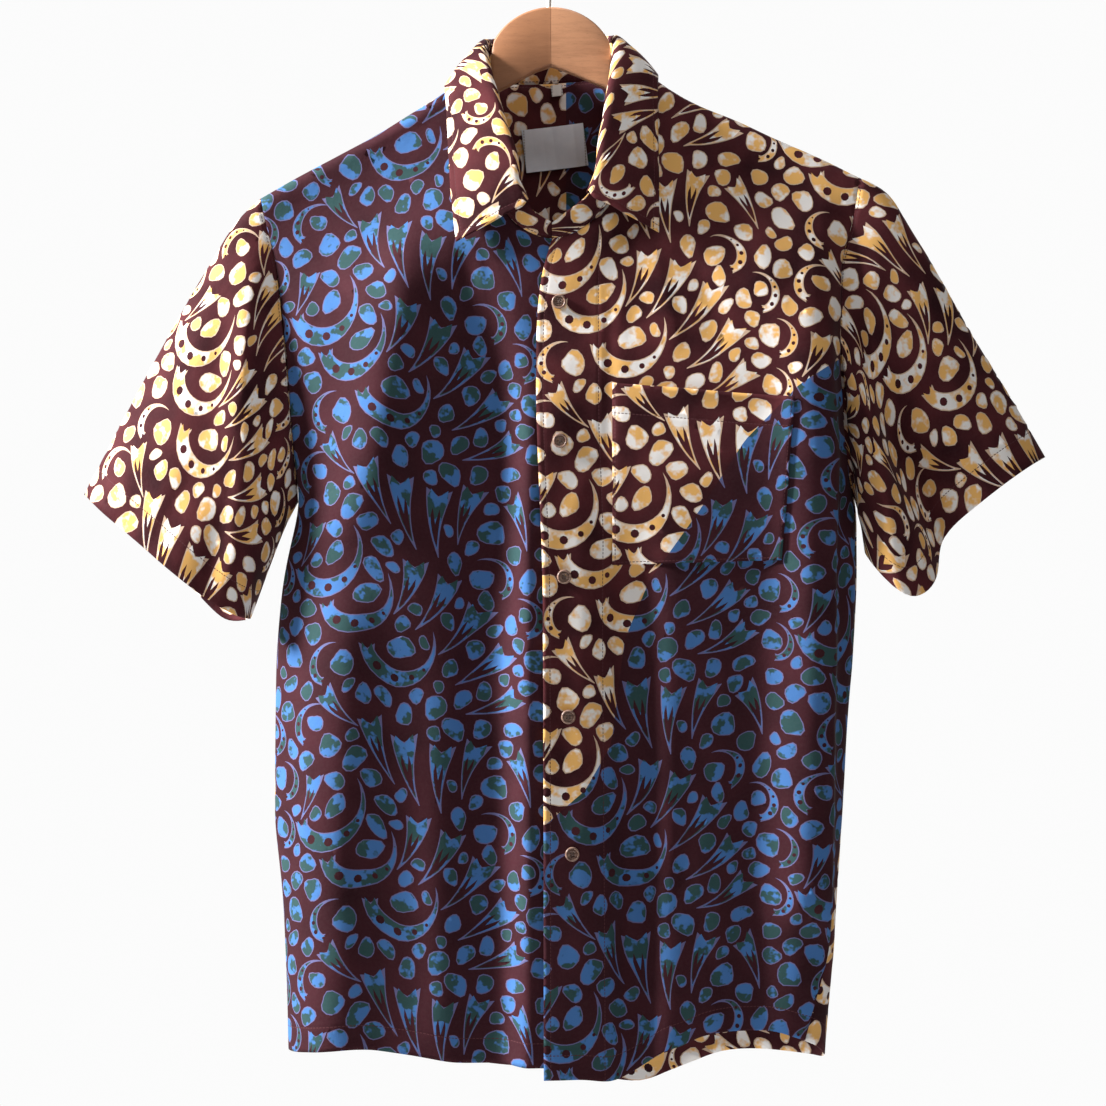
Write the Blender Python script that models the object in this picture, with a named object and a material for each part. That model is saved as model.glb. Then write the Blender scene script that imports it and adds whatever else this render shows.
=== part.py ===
"""Short-sleeved batik shirt, buttoned up on a wooden coat hanger.

Metres, +Z up. The front faces -Y, the wearer's left is +X, and the origin is the point
of the hook that rests on a rail. Every cut piece of cloth is a wall of its own: a grid of
points on its outer side, thickened to the inside, with narrow seams between the pieces.
"""
import math

import bmesh
import bpy
import numpy as np
from mathutils import Vector
from mathutils.bvhtree import BVHTree

# ---------------------------------------------------------------- driving sizes
WALL = 0.0016             # cotton with its seam allowances
COLLAR_WALL = 0.0019      # interlined collar
SEAM = 0.0003             # space between two pieces
TURNED_AWAY = 0.3         # pieces that turn further from each other keep their own wall's way
LAP = 0.0040              # how far the under front lies behind the upper one
LAP_FROM, LAP_TO = -0.036, -0.0115     # x between which it drops behind
ARM_THICKNESS = 0.0125    # the hanger's wood, front to back
ARM_END_SHARE = 0.55       # of its section where an arm ends
RIDGE_RADIUS = 0.0088     # how round the cloth lies over the hanger
DEPTH_REACH = 0.13        # drop below the shoulder at which the body has its full depth
BODY_ROUNDNESS = 0.8      # 1 is an ellipse, less is boxier
NECK_CENTRE_X, NECK_HALF_WIDTH = 0.0012, 0.0738
NECK_DEPTH = 0.0445       # how far the back stands off at the middle of the neck
NECK_FROM_Z, NECK_TO_Z = -0.13, -0.30     # between these the neck's round fades out
NECK_REACH = 0.07         # way below the neck seam over which a panel takes up its curve
FOLD_START, FOLD_END = 0.09, 0.02      # lengths over which a fold rises and fades
SLEEVE_ROWS = 9

# shoulder line: x, z of its crest, from the wearer's right tip to the left tip
SHOULDER = np.array([
    (-0.2165, -0.2022), (-0.1900, -0.1870), (-0.1603, -0.1711), (-0.1272, -0.1530),
    (-0.1039, -0.1385), (-0.0725, -0.1195), (0.0000, -0.0850), (0.0750, -0.1110),
    (0.1075, -0.1300), (0.1443, -0.1454), (0.1661, -0.1557), (0.2065, -0.1735),
    (0.2325, -0.1865)])
RIGHT_TIP, LEFT_TIP = SHOULDER[0], SHOULDER[-1]
UNDERARM_Z = -0.4305

# body sections: height, wearer's right and left outline, depth in front and behind
BODY = np.array([
    # z       right    left    front   back
    (-0.180, -0.2215, 0.2375, 0.030, 0.026),
    (-0.2022, -0.2190, 0.2350, 0.034, 0.028),
    (-0.225, -0.2160, 0.2325, 0.038, 0.030),
    (-0.250, -0.2125, 0.2302, 0.042, 0.032),
    (-0.300, -0.2065, 0.2280, 0.047, 0.034),
    (-0.360, -0.2000, 0.2275, 0.050, 0.035),
    (-0.4305, -0.1885, 0.2300, 0.051, 0.036),
    (-0.445, -0.1902, 0.2308, 0.051, 0.036),
    (-0.474, -0.1968, 0.2316, 0.051, 0.037),
    (-0.534, -0.2039, 0.2293, 0.052, 0.038),
    (-0.598, -0.2055, 0.2241, 0.053, 0.039),
    (-0.655, -0.2061, 0.2210, 0.054, 0.040),
    (-0.730, -0.1988, 0.2158, 0.056, 0.042),
    (-0.845, -0.1926, 0.2068, 0.058, 0.045),
    (-0.900, -0.1915, 0.2040, 0.058, 0.045)])

# armhole seams seen from the front: x, z
RIGHT_ARMHOLE = np.array([
    (-0.2165, -0.2022), (-0.2117, -0.2245), (-0.2070, -0.2420), (-0.1985, -0.3027),
    (-0.1931, -0.3698), (-0.1895, -0.4150), (-0.1885, -0.4305)])
LEFT_ARMHOLE = np.array([
    (0.2325, -0.1865), (0.2302, -0.2040), (0.2265, -0.2240), (0.2195, -0.2480),
    (0.2170, -0.2953), (0.2200, -0.3549), (0.2248, -0.4045), (0.2300, -0.4305)])

# soft folds: x at the top and the bottom, z where they start and end, half width, height
FRONT_FOLDS = [
    # x0      x1      z0      z1      width  height
    (-0.105, -0.150, -0.20, -0.47, 0.026, 0.0100),
    (-0.150, -0.166, -0.45, -0.95, 0.024, 0.0090),
    (-0.046, -0.040, -0.27, -0.95, 0.021, -0.0080),
    (-0.003, -0.001, -0.30, -0.95, 0.016, 0.0060),
    (0.057, 0.062, -0.42, -0.95, 0.016, -0.0130),
    (0.198, 0.190, -0.24, -0.75, 0.022, 0.0100)]
BACK_FOLDS = [
    (-0.120, -0.135, -0.24, -0.95, 0.030, 0.0090),
    (-0.045, -0.052, -0.30, -0.95, 0.024, -0.0080),
    (0.030, 0.022, -0.36, -0.95, 0.024, 0.0075),
    (0.092, 0.100, -0.26, -0.95, 0.022, -0.0085),
    (0.165, 0.158, -0.24, -0.90, 0.026, 0.0080)]

# edge of the upper front, and where the back wraps forward at the wearer's left: z, x
PLACKET_EDGE = np.array([
    (-0.235, 0.0022), (-0.266, -0.0058), (-0.342, -0.0095), (-0.503, -0.0044),
    (-0.880, -0.0036)])
UNDER_EDGE = np.array([(-0.235, 0.0100), (-0.262, 0.0200), (-0.500, 0.0260), (-0.880, 0.0300)])
LEFT_SEAM_TURN = np.array([
    # z      part of the half width that the front reaches
    (-0.432, 1.0), (-0.640, 1.0), (-0.690, 0.992), (-0.742, 0.967), (-0.784, 0.940),
    (-0.830, 0.905), (-0.900, 0.890)])

# hems: x, z
FRONT_HEM = np.array([
    (-0.1915, -0.8400), (-0.1426, -0.8345), (-0.1017, -0.8391), (-0.0695, -0.8442),
    (-0.0285, -0.8457), (0.0300, -0.8464)])
UPPER_FRONT_HEM = np.array([
    (-0.0040, -0.8545), (0.0293, -0.8552), (0.0454, -0.8570), (0.0610, -0.8520),
    (0.0783, -0.8380), (0.0937, -0.8325), (0.1090, -0.8262), (0.1300, -0.8223),
    (0.1595, -0.8223), (0.1870, -0.8300)])
BACK_HEM = np.array([     # share of the way round the back, z
    (0.0, -0.8400), (0.227, -0.8460), (0.427, -0.8640), (0.523, -0.8725), (0.570, -0.8610),
    (0.624, -0.8495), (0.696, -0.8474), (0.835, -0.8480), (1.0, -0.8300)])
YOKE_SEAM_Z = -0.245
CHEST_Z = -0.330          # rows are level from here down
LOW_Z = -0.740            # and follow the hem from here down
# rows from the top edge to the chest and to the yoke seam: crowded where the cloth turns
# over the shoulder, even below the neck seam
FRONT_SHARES = np.array([(0.0, 0.0), (0.005, 0.06), (0.022, 0.13), (0.065, 0.21), (0.15, 0.31),
                         (0.28, 0.42), (0.44, 0.54), (0.62, 0.68), (0.81, 0.84), (1.0, 1.0)])
YOKE_SHARES = np.array([(0.0, 0.0), (0.012, 0.10), (0.055, 0.24), (0.20, 0.45), (0.50, 0.70),
                        (1.0, 1.0)])
NECK_BLEND = 3            # columns over which one kind of rows turns into the other
UPPER_BACK_ROWS = (-0.273, -0.302)
LEVEL_ROWS = (CHEST_Z, -0.360, -0.384, -0.408, UNDERARM_Z)
SIDE_ROWS = 14
HEM_LEVEL = -0.845
RELAX_ROWS = 10           # rows over which the columns spread out to their lower places
SHOULDER_COLUMNS = 11
COLLAR_PARTS = ((0, 2, 2), (2, 5, 7), (5, 9, 10), (9, 12, 7), (12, 14, 2))   # from, to, steps
NECK_POINT_ROUND = 0.35   # how round the cloth turns over the neck point, 0 being straight
OFF_NECK = 0.16           # how far the cloth below the neck point leans from the neck
FRONT_SEAM_COLUMNS = 9    # neck columns of a front: the first two collar parts

# collar sections: seam on the neck, crease where the leaf turns over, edge of the leaf
NECK = [
    # seam                        crease                      edge
    ((0.0100, -0.0370, -0.2368), (0.0080, -0.0400, -0.2270), None),
    ((-0.0020, -0.0400, -0.2362), (-0.0030, -0.0430, -0.2225), None),
    ((-0.0190, -0.0435, -0.2300), (-0.0165, -0.0510, -0.2095),
     (-0.0679, -0.0460, -0.2400)),
    ((-0.0450, -0.0355, -0.1960), (-0.0260, -0.0470, -0.1727),
     (-0.0720, -0.0360, -0.2009)),
    ((-0.0625, -0.0205, -0.1580), (-0.0385, -0.0300, -0.1323),
     (-0.0745, -0.0230, -0.1588)),
    ((-0.0725, 0.0000, -0.1195), (-0.0480, -0.0010, -0.0885),
     (-0.0770, 0.0000, -0.1180)),
    ((-0.0520, 0.0330, -0.1120), (-0.0430, 0.0290, -0.0790),
     (-0.0620, 0.0420, -0.1230)),
    ((0.0010, 0.0450, -0.1090), (0.0000, 0.0410, -0.0755),
     (0.0000, 0.0560, -0.1190)),
    ((0.0540, 0.0330, -0.1060), (0.0430, 0.0290, -0.0770),
     (0.0640, 0.0420, -0.1180)),
    ((0.0750, 0.0000, -0.1110), (0.0500, -0.0010, -0.0850),
     (0.0805, 0.0000, -0.1100)),
    ((0.0660, -0.0205, -0.1500), (0.0450, -0.0300, -0.1250),
     (0.0800, -0.0230, -0.1500)),
    ((0.0540, -0.0355, -0.1920), (0.0385, -0.0470, -0.1650),
     (0.0805, -0.0360, -0.1950)),
    ((0.0290, -0.0435, -0.2260), (0.0300, -0.0510, -0.2030),
     (0.0803, -0.0460, -0.2332)),
    ((0.0130, -0.0440, -0.2350), (0.0140, -0.0470, -0.2170), None),
    ((0.0022, -0.0440, -0.2368), (0.0022, -0.0450, -0.2255), None)]
LEAF_FIRST, LEAF_LAST = 2, 12          # the collar sections between which the leaf runs
LEAF_ROLL = 0.0024
LEAF_ROLL_TURNS = (60, 120, 180)
LEAF_ROWS = 5
LEAF_BOW = 0.0020
LEAF_CLEARANCE = 0.0020

# sleeve hems: share of the way from the top edge to the underarm, and the point there
RIGHT_HEM_FRONT = [
    (0.00, (-0.3500, 0.0000, -0.4245)), (0.12, (-0.3360, -0.0200, -0.4360)),
    (0.35, (-0.3060, -0.0370, -0.4600)), (0.60, (-0.2740, -0.0430, -0.4865)),
    (0.80, (-0.2480, -0.0400, -0.5060)), (0.93, (-0.2300, -0.0250, -0.5160)),
    (1.00, (-0.2245, -0.0020, -0.5180))]
RIGHT_HEM_BACK = [
    (0.00, (-0.3500, 0.0000, -0.4245)), (0.15, (-0.3300, 0.0190, -0.4420)),
    (0.50, (-0.2850, 0.0330, -0.4830)), (0.85, (-0.2400, 0.0280, -0.5210)),
    (1.00, (-0.2245, -0.0020, -0.5180))]
LEFT_HEM_FRONT = [
    (0.00, (0.3737, 0.0000, -0.3965)), (0.12, (0.3590, -0.0190, -0.4040)),
    (0.33, (0.3270, -0.0270, -0.4270)), (0.47, (0.2960, -0.0160, -0.4560)),
    (0.54, (0.2895, -0.0310, -0.4800)), (0.66, (0.2740, -0.0480, -0.5010)),
    (0.80, (0.2540, -0.0450, -0.4940)), (0.92, (0.2320, -0.0290, -0.4690)),
    (1.00, (0.2385, -0.0020, -0.4690))]
LEFT_HEM_BACK = [
    (0.00, (0.3737, 0.0000, -0.3965)), (0.15, (0.3550, 0.0180, -0.4080)),
    (0.50, (0.3080, 0.0320, -0.4420)), (0.85, (0.2590, 0.0270, -0.4730)),
    (1.00, (0.2385, -0.0020, -0.4690))]
# top and lower edges of the sleeves: share of the length, x, z
RIGHT_SLEEVE_TOP = [
    (0.00, -0.2165, -0.2022), (0.08, -0.2298, -0.2137), (0.25, -0.2550, -0.2516),
    (0.46, -0.2829, -0.2997), (0.62, -0.3011, -0.3320), (0.80, -0.3220, -0.3712),
    (1.00, -0.3500, -0.4245)]
RIGHT_SLEEVE_UNDER = [(0.00, -0.1885, -0.4305), (0.25, -0.1975, -0.4480),
                      (0.60, -0.2120, -0.4850), (1.00, -0.2245, -0.5180)]
LEFT_SLEEVE_TOP = [
    (0.00, 0.2325, -0.1865), (0.08, 0.2480, -0.1930), (0.22, 0.2680, -0.2185),
    (0.40, 0.2930, -0.2600), (0.58, 0.3211, -0.3090), (0.78, 0.3460, -0.3490),
    (1.00, 0.3737, -0.3965)]
LEFT_SLEEVE_UNDER = [(0.00, 0.2300, -0.4305), (0.50, 0.2350, -0.4500),
                     (1.00, 0.2385, -0.4690)]
# sleeve folds in front: x and z at both ends, half width, height
RIGHT_SLEEVE_FOLDS = [(-0.2180, -0.2150, -0.2360, -0.5200, 0.012, 0.0090),
                      (-0.2700, -0.3000, -0.3150, -0.4600, 0.013, -0.0040)]
LEFT_SLEEVE_FOLDS = [(0.2330, -0.2050, 0.2450, -0.4800, 0.011, 0.0100),
                     (0.2480, -0.3300, 0.2880, -0.4650, 0.010, -0.0110),
                     (0.2850, -0.2900, 0.3150, -0.4300, 0.016, 0.0040)]

# pocket corners, x and z, and the points along and down it
POCKET_TOP = ((0.0464, -0.3439), (0.1810, -0.3542))
POCKET_BOTTOM = ((0.0464, -0.4778), (0.1714, -0.4741))
POCKET_COLUMNS, POCKET_ROWS = 16, 13
SPOT_ROUNDS = 6           # rounds that close in on a point of the net
POCKET_WALL = 0.0013
POCKET_GAP = 0.0009
POCKET_MOUTH = 0.0022     # how far the mouth stands open

BUTTONS = [(0.0073, -0.2840), (0.0080, -0.3866), (0.0109, -0.4864), (0.0139, -0.5891),
           (0.0168, -0.6896)]
BUTTON_RADIUS = 0.00535
BUTTON_THICKNESS = 0.0026
BUTTON_GAP = 0.0006

LABEL_SIZE = (0.0480, 0.0335)
LABEL_CENTRE = (0.0043, -0.1595)
LABEL_TURN = math.radians(7.0)
TAB_SIZE = (0.0085, 0.0085)
TAB_CENTRE = (0.0060, -0.1145)
LABEL_WALL = 0.0011
LABEL_GAP = 0.0005

# hanger
CROWN_CENTRE = (0.0018, -0.1090)
CROWN_RADIUS = 0.0500
WOOD_UNDER_APEX = (0.0007, -0.1034)
CROWN_HALF = 0.0432       # how far along its arc the crown goes on each side
RIGHT_FLANK = [(-0.0428, -0.0905), (-0.0438, -0.1000), (-0.0480, -0.1100),
               (-0.0560, -0.1195), (-0.0680, -0.1270), (-0.0830, -0.1335)]
LEFT_FLANK = [(0.0460, -0.0905), (0.0468, -0.1000), (0.0505, -0.1090),
              (0.0580, -0.1150), (0.0700, -0.1195), (0.0860, -0.1235)]
ARMS_FROM = (-0.1020, 0.1080)
ARM_TIPS = (-0.2060, 0.2220)
WOOD_UNDER_SLOPES = (0.545, 0.430)
ARM_GAP = 0.0006
HOOK_WIRE = 0.0021        # radius of the wire
HOOK_FROM, HOOK_TO = -52, 205   # degrees along the bend
HOOK_BEND = 0.0190        # inner radius of the hook


# ---------------------------------------------------------------- curves
def along(table, at):
    """Smooth values of a table at some places; the first column is the place."""
    table = np.asarray(table, float)
    place, value = table[:, 0], table[:, 1:]
    if place[0] > place[-1]:
        place, value = place[::-1], value[::-1]
    step = np.diff(place)[:, None]
    slope = np.diff(value, axis=0) / step
    tangent = np.empty_like(value)
    tangent[0], tangent[-1] = slope[0], slope[-1]
    before, after = slope[:-1], slope[1:]
    mean = (before * step[1:] + after * step[:-1]) / (step[1:] + step[:-1])
    limit = 3 * np.minimum(abs(before), abs(after))
    tangent[1:-1] = np.where(before * after > 0, np.clip(mean, -limit, limit), 0)
    at = np.clip(np.asarray(at, float), place[0], place[-1])
    k = np.clip(np.searchsorted(place, at) - 1, 0, len(place) - 2)
    width = step[k]
    t = ((at - place[k]) / width[..., 0])[..., None]
    result = (value[k] * (2 * t**3 - 3 * t**2 + 1) + value[k + 1] * (3 * t**2 - 2 * t**3)
              + width * (tangent[k] * (t**3 - 2 * t**2 + t)
                         + tangent[k + 1] * (t**3 - t**2)))
    return result[..., 0] if result.shape[-1] == 1 else result


def smooth(t):
    t = np.clip(t, 0, 1)
    return t * t * (3 - 2 * t)


def unit(vectors):
    return vectors / np.linalg.norm(vectors, axis=-1, keepdims=True)


def flip(table):
    """The same table with its columns x, z as z, x."""
    return np.asarray(table)[:, ::-1]


# ---------------------------------------------------------------- the body's surface
def shoulder_line(x):
    return along(SHOULDER, x)


def fold_height(folds, x, z):
    total = np.zeros_like(x)
    for x0, x1, z0, z1, width, height in folds:
        middle = x0 + (x1 - x0) * (z - z0) / (z1 - z0)
        fade = smooth((z0 - z) / FOLD_START) * smooth((z - z1) / FOLD_END)
        total += height * fade * np.exp(-((x - middle) / width)**2)
    return total


def body_depth(x, z, side):
    """How far the cloth stands from the middle plane; side -1 in front, 1 behind."""
    right, left, front, back = along(BODY, z).T
    half = (left - right) / 2
    across = np.clip((x - (left + right) / 2) / half, -1, 1)
    edge = (1 - across**2)**(BODY_ROUNDNESS / 2)
    full = (front if side < 0 else back) * edge
    full += fold_height(FRONT_FOLDS if side < 0 else BACK_FOLDS, x, z) * smooth(edge / 0.6)
    drop = np.maximum(shoulder_line(x) - z, 0)
    turn = np.clip(drop / RIDGE_RADIUS, 0, 1)
    crest = np.minimum(RIDGE_RADIUS * np.sqrt(1 - (1 - turn)**2), np.maximum(full, 0))
    hung = crest + (full - crest) * smooth(drop / DEPTH_REACH)
    if side < 0:
        return hung
    round_neck = np.maximum(1 - ((x - NECK_CENTRE_X) / NECK_HALF_WIDTH)**2, 0)**0.75
    round_neck *= NECK_DEPTH * (1 - smooth((NECK_FROM_Z - z) / (NECK_FROM_Z - NECK_TO_Z)))
    return (hung**4 + round_neck**4)**0.25


def body_point(x, z, side):
    return np.stack([x, side * body_depth(x, z, side), z], axis=-1)


# ---------------------------------------------------------------- neck seam and collar
def collar_lines():
    """Seam, crease and edge of the collar at its columns; the edge only along the leaf."""
    seam = np.array([section[0] for section in NECK])
    crease = np.array([section[1] for section in NECK])
    leaf = slice(LEAF_FIRST, LEAF_LAST + 1)
    edge = np.array([section[2] for section in NECK[leaf]])
    place = np.r_[0, np.cumsum(np.linalg.norm(np.diff(seam, axis=0), axis=1))]
    stops = [np.linspace(place[a], place[b], count + 1)[:-1] for a, b, count in COLLAR_PARTS]
    stops = np.append(np.concatenate(stops), place[-1])
    on_leaf = stops[(stops > place[LEAF_FIRST] - 1e-9) & (stops < place[LEAF_LAST] + 1e-9)]
    return (along(np.c_[place, seam], stops), along(np.c_[place, crease], stops),
            along(np.c_[place[leaf], edge], on_leaf))


def pull_to_neck(points, seam, first=0):
    """Move a panel's columns so that they start on the neck seam."""
    for column, target in enumerate(seam, start=first):
        shift = target - points[0, column]
        gone = np.linalg.norm(points[:, column] - points[0, column], axis=1)
        points[:, column] += shift * (1 - smooth(gone / NECK_REACH))[:, None]


# ---------------------------------------------------------------- panels of the body
def row_heights(top, shares, evenness, first_level, extra_rows, hem):
    """Heights of one column's rows: down from the top, then level, then to the hem."""
    upper = top + (first_level - top) * (shares[:-1] @ (1 - evenness, evenness))
    side = np.linspace(UNDERARM_Z, HEM_LEVEL, SIDE_ROWS + 1)[1:]
    rows = np.concatenate([upper, extra_rows, LEVEL_ROWS, side])
    low = rows < LOW_Z
    rows[low] = LOW_Z + (rows[low] - LOW_Z) * (hem - LOW_Z) / (HEM_LEVEL - LOW_Z)
    return rows


def half_and_centre(z):
    right, left = along(BODY[:, :3], z).T
    return (left - right) / 2, (left + right) / 2


def side_edge(z, armhole, reach):
    """x of the armhole and, below the underarm, of the side seam."""
    half, centre = half_and_centre(z)
    return np.where(z > UNDERARM_Z + 1e-6, along(flip(armhole), z), centre + half * reach(z))


def panel_grid(top, even, low, near, far, rows_of, hem, side):
    """Each column runs from its place along the top to its share of the width below."""
    share_top = (top[:, 0] - top[0, 0]) / (top[-1, 0] - top[0, 0])
    near_x = near(rows_of(top[0, 2], even[0], hem[0]))
    far_x = far(rows_of(top[-1, 2], even[-1], hem[-1]))
    relax = smooth((np.arange(len(near_x)) - 1) / RELAX_ROWS)
    grid = []
    for column, (_, _, z_top) in enumerate(top):
        share = share_top[column] + (low[column] - share_top[column]) * relax
        x = near_x + (far_x - near_x) * share
        grid.append(body_point(x, rows_of(z_top, even[column], hem[column]), side))
    return np.stack(grid, axis=1)


def front_panel(seam, inner_edge, armhole, hem_line, reach, under):
    """A front: column 0 is its free edge, the last one the armhole and the side seam."""
    tip = LEFT_TIP if seam[-1, 0] > 0 else RIGHT_TIP
    shoulder_x = np.linspace(seam[-1, 0], tip[0], SHOULDER_COLUMNS + 1)[1:]
    shoulder = np.stack([shoulder_x, 0 * shoulder_x, shoulder_line(shoulder_x)], axis=1)
    top = np.r_[seam, shoulder]
    low = np.sin(np.linspace(0, math.pi / 2, len(top)))

    def near(z):
        return along(inner_edge, z)

    def far(z):
        return side_edge(z, armhole, reach)

    even = np.clip((len(seam) - 1 - np.arange(len(top))) / NECK_BLEND, 0, 1)
    hem_x = near(HEM_LEVEL) + (far(np.array([HEM_LEVEL])) - near(HEM_LEVEL)) * low
    grid = panel_grid(top, even, low, near, far, lambda z_top, evenness, z_hem: row_heights(
        z_top, FRONT_SHARES, evenness, CHEST_Z, [], z_hem), along(hem_line, hem_x), -1)
    if under:
        grid[..., 1] += LAP * smooth((grid[..., 0] - LAP_FROM) / (LAP_TO - LAP_FROM))
    neck_point = len(seam) - 1
    grid[0, neck_point:, 1] = 0
    pull_to_neck(grid, seam)
    for row in (1, 2):
        straight = grid[0, neck_point] + (grid[3, neck_point] - grid[0, neck_point]) * row / 3
        straight += (grid[row, neck_point] - straight) * NECK_POINT_ROUND
        grid[row, neck_point] = straight + OFF_NECK * (grid[row, neck_point + 1] - straight)
    grid[3, neck_point] += OFF_NECK * (grid[3, neck_point + 1] - grid[3, neck_point])
    return grid


def back_panel(seam, shoulder_right, shoulder_left):
    """Yoke and back in one grid, from the wearer's right round to the left front."""
    top = np.r_[shoulder_right[::-1], seam, shoulder_left]
    share = np.linspace(0, 1, len(top))
    low = (1 - np.cos(math.pi * share)) / 2
    from_neck_point = np.minimum(np.arange(len(top)), np.arange(len(top))[::-1])
    even = np.clip((from_neck_point - SHOULDER_COLUMNS) / NECK_BLEND, 0, 1)
    grid = panel_grid(
        top, even, low, lambda z: side_edge(z, RIGHT_ARMHOLE, lambda z: -1),
        lambda z: side_edge(z, LEFT_ARMHOLE, lambda z: 1),
        lambda z_top, evenness, z_hem: row_heights(z_top, YOKE_SHARES, evenness, YOKE_SEAM_Z,
                                                   UPPER_BACK_ROWS, z_hem),
        along(BACK_HEM, share), 1)
    grid[0, :len(shoulder_right) + 1, 1] = 0
    grid[0, -len(shoulder_left) - 1:, 1] = 0
    pull_to_neck(grid, seam, len(shoulder_right))
    for row in grid[-SIDE_ROWS:]:
        turn = np.arccos(along(LEFT_SEAM_TURN, row[-1, 2]))
        angle = share * (math.pi + turn)
        half, centre = half_and_centre(row[:, 2])
        x = centre - half * np.cos(angle)
        row[:, 0] = x
        row[:, 1] = np.where(angle > math.pi + 1e-9, -body_depth(x, row[:, 2], -1),
                             body_depth(x, row[:, 2], 1))
    return grid


# ---------------------------------------------------------------- sleeves
def sleeve(front_edge, back_edge, top_line, under_line, hem_front, hem_back, folds):
    """A tube from the armhole to its hem; the back's half closes the round."""
    def shares(edge):
        length = np.r_[0, np.cumsum(np.linalg.norm(np.diff(edge, axis=0), axis=1))]
        return length / length[-1]

    front_share, back_share = shares(front_edge), shares(back_edge)
    edge = np.r_[front_edge, back_edge[-2:0:-1]]
    share = np.r_[front_share, back_share[-2:0:-1]]
    in_front = np.r_[np.ones(len(front_edge)), np.zeros(len(back_edge) - 2)]

    def hem_at(table, at):
        return along([(place, *point) for place, point in table], at)

    hem = np.where(in_front[:, None] > 0, hem_at(hem_front, share), hem_at(hem_back, share))
    rows = []
    for t in np.linspace(0, 1, SLEEVE_ROWS + 1):
        row = edge + (hem - edge) * t
        row[:, 1] = edge[:, 1] + (hem[:, 1] - edge[:, 1]) * t**0.5
        for line, weight in ((top_line, (1 - share)**2), (under_line, share**2)):
            ends = np.array([line[0][1:], line[-1][1:]])
            bow = along(line, t) - (ends[0] + (ends[1] - ends[0]) * t)
            row[:, 0] += bow[0] * weight
            row[:, 2] += bow[1] * weight
        for x0, z0, x1, z1, width, height in folds:
            middle = x0 + (x1 - x0) * (row[:, 2] - z0) / (z1 - z0)
            fade = smooth(t / 0.25) * smooth((z0 - row[:, 2]) / 0.05)
            fade = fade * np.sin(math.pi * share)**0.7 * in_front
            row[:, 1] -= height * fade * np.exp(-((row[:, 0] - middle) / width)**2)
        rows.append(row)
    return np.array(rows)


# ---------------------------------------------------------------- walls of cloth
def grid_normals(grid, closed):
    """Sum of the faces' unit normals at each point of a grid."""
    if closed:
        grid = np.concatenate([grid, grid[:, :1]], axis=1)
    across = grid[1:, 1:] - grid[:-1, :-1]
    other = grid[1:, :-1] - grid[:-1, 1:]
    face = unit(np.cross(across, other))
    total = np.zeros_like(grid)
    for rows in (slice(None, -1), slice(1, None)):
        for columns in (slice(None, -1), slice(1, None)):
            total[rows, columns] += face
    if closed:
        total[:, 0] += total[:, -1]
        total = total[:, :-1]
    return total


def shared_normals(grids):
    """Outward unit normals; pieces that meet at a seam have the same ones there."""
    sums, raw = {}, {}
    for name, (grid, outward, closed) in grids.items():
        raw[name] = unit(grid_normals(grid, closed)) * outward
        keys = np.round(grid / 2e-6).astype(int).reshape(-1, 3)
        for key, normal in zip(map(tuple, keys), raw[name].reshape(-1, 3)):
            sums[key] = sums.get(key, 0) + normal
    result = {}
    for name, (grid, _, _) in grids.items():
        keys = map(tuple, np.round(grid / 2e-6).astype(int).reshape(-1, 3))
        normal = unit(np.array([sums[key] for key in keys]).reshape(grid.shape))
        apart = np.sum(normal * raw[name], axis=-1, keepdims=True) < TURNED_AWAY
        result[name] = np.where(apart, raw[name], normal)
    return result


def part_seam(one, one_next, other, other_next):
    """Move two edges that are sewn together a seam's width apart."""
    way = unit(unit(one_next - one) - unit(other_next - other)) * SEAM / 2
    return way, -way


def finish(name, bm, material, smooth_angle=40.0):
    mesh = bpy.data.meshes.new(name)
    bmesh.ops.recalc_face_normals(bm, faces=bm.faces[:])
    bm.to_mesh(mesh)
    bm.free()
    mesh.materials.append(material)
    mesh.shade_smooth()
    mesh.set_sharp_from_angle(angle=math.radians(smooth_angle))
    piece = bpy.data.objects.new(name, mesh)
    bpy.context.collection.objects.link(piece)
    return piece


def cloth(name, grid, normals, material, wall=WALL, closed=False):
    """A wall of cloth: a grid laid over the points, extruded to the inside."""
    rows, columns = grid.shape[:2]
    if closed:
        grid = np.concatenate([grid, grid[:, :1]], axis=1)
        normals = np.concatenate([normals, normals[:, :1]], axis=1)
    bm = bmesh.new()
    bmesh.ops.create_grid(bm, x_segments=grid.shape[1] - 1, y_segments=rows - 1, size=1)
    place = bm.verts.layers.int.new("place")
    bm.verts.ensure_lookup_table()
    for index, (vert, point) in enumerate(zip(bm.verts, grid.reshape(-1, 3))):
        vert.co = point
        vert[place] = index
    if closed:
        bmesh.ops.remove_doubles(bm, verts=bm.verts[:], dist=1e-6)
    inner = (grid - normals * wall).reshape(-1, 3)
    bmesh.ops.reverse_faces(bm, faces=bm.faces[:])
    extruded = bmesh.ops.extrude_face_region(bm, geom=bm.faces[:], use_keep_orig=True)
    moved_in = {vert for vert in extruded["geom"] if isinstance(vert, bmesh.types.BMVert)}
    for vert in moved_in:
        vert.co = inner[vert[place]]
    rims = [face for face in bm.faces if 0 < len(moved_in.intersection(face.verts)) < 4]
    for face in rims:
        outside = [vert for vert in face.verts if vert not in moved_in]
        high = max(outside, key=lambda vert: (round(vert.co.z, 3), round(vert.co.x, 3)))
        across = next(vert for vert in face.verts if vert in moved_in
                      and not any(high in edge.verts for edge in vert.link_edges))
        bmesh.ops.connect_verts(bm, verts=[high, across])
    return finish(name, bm, material)


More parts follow.
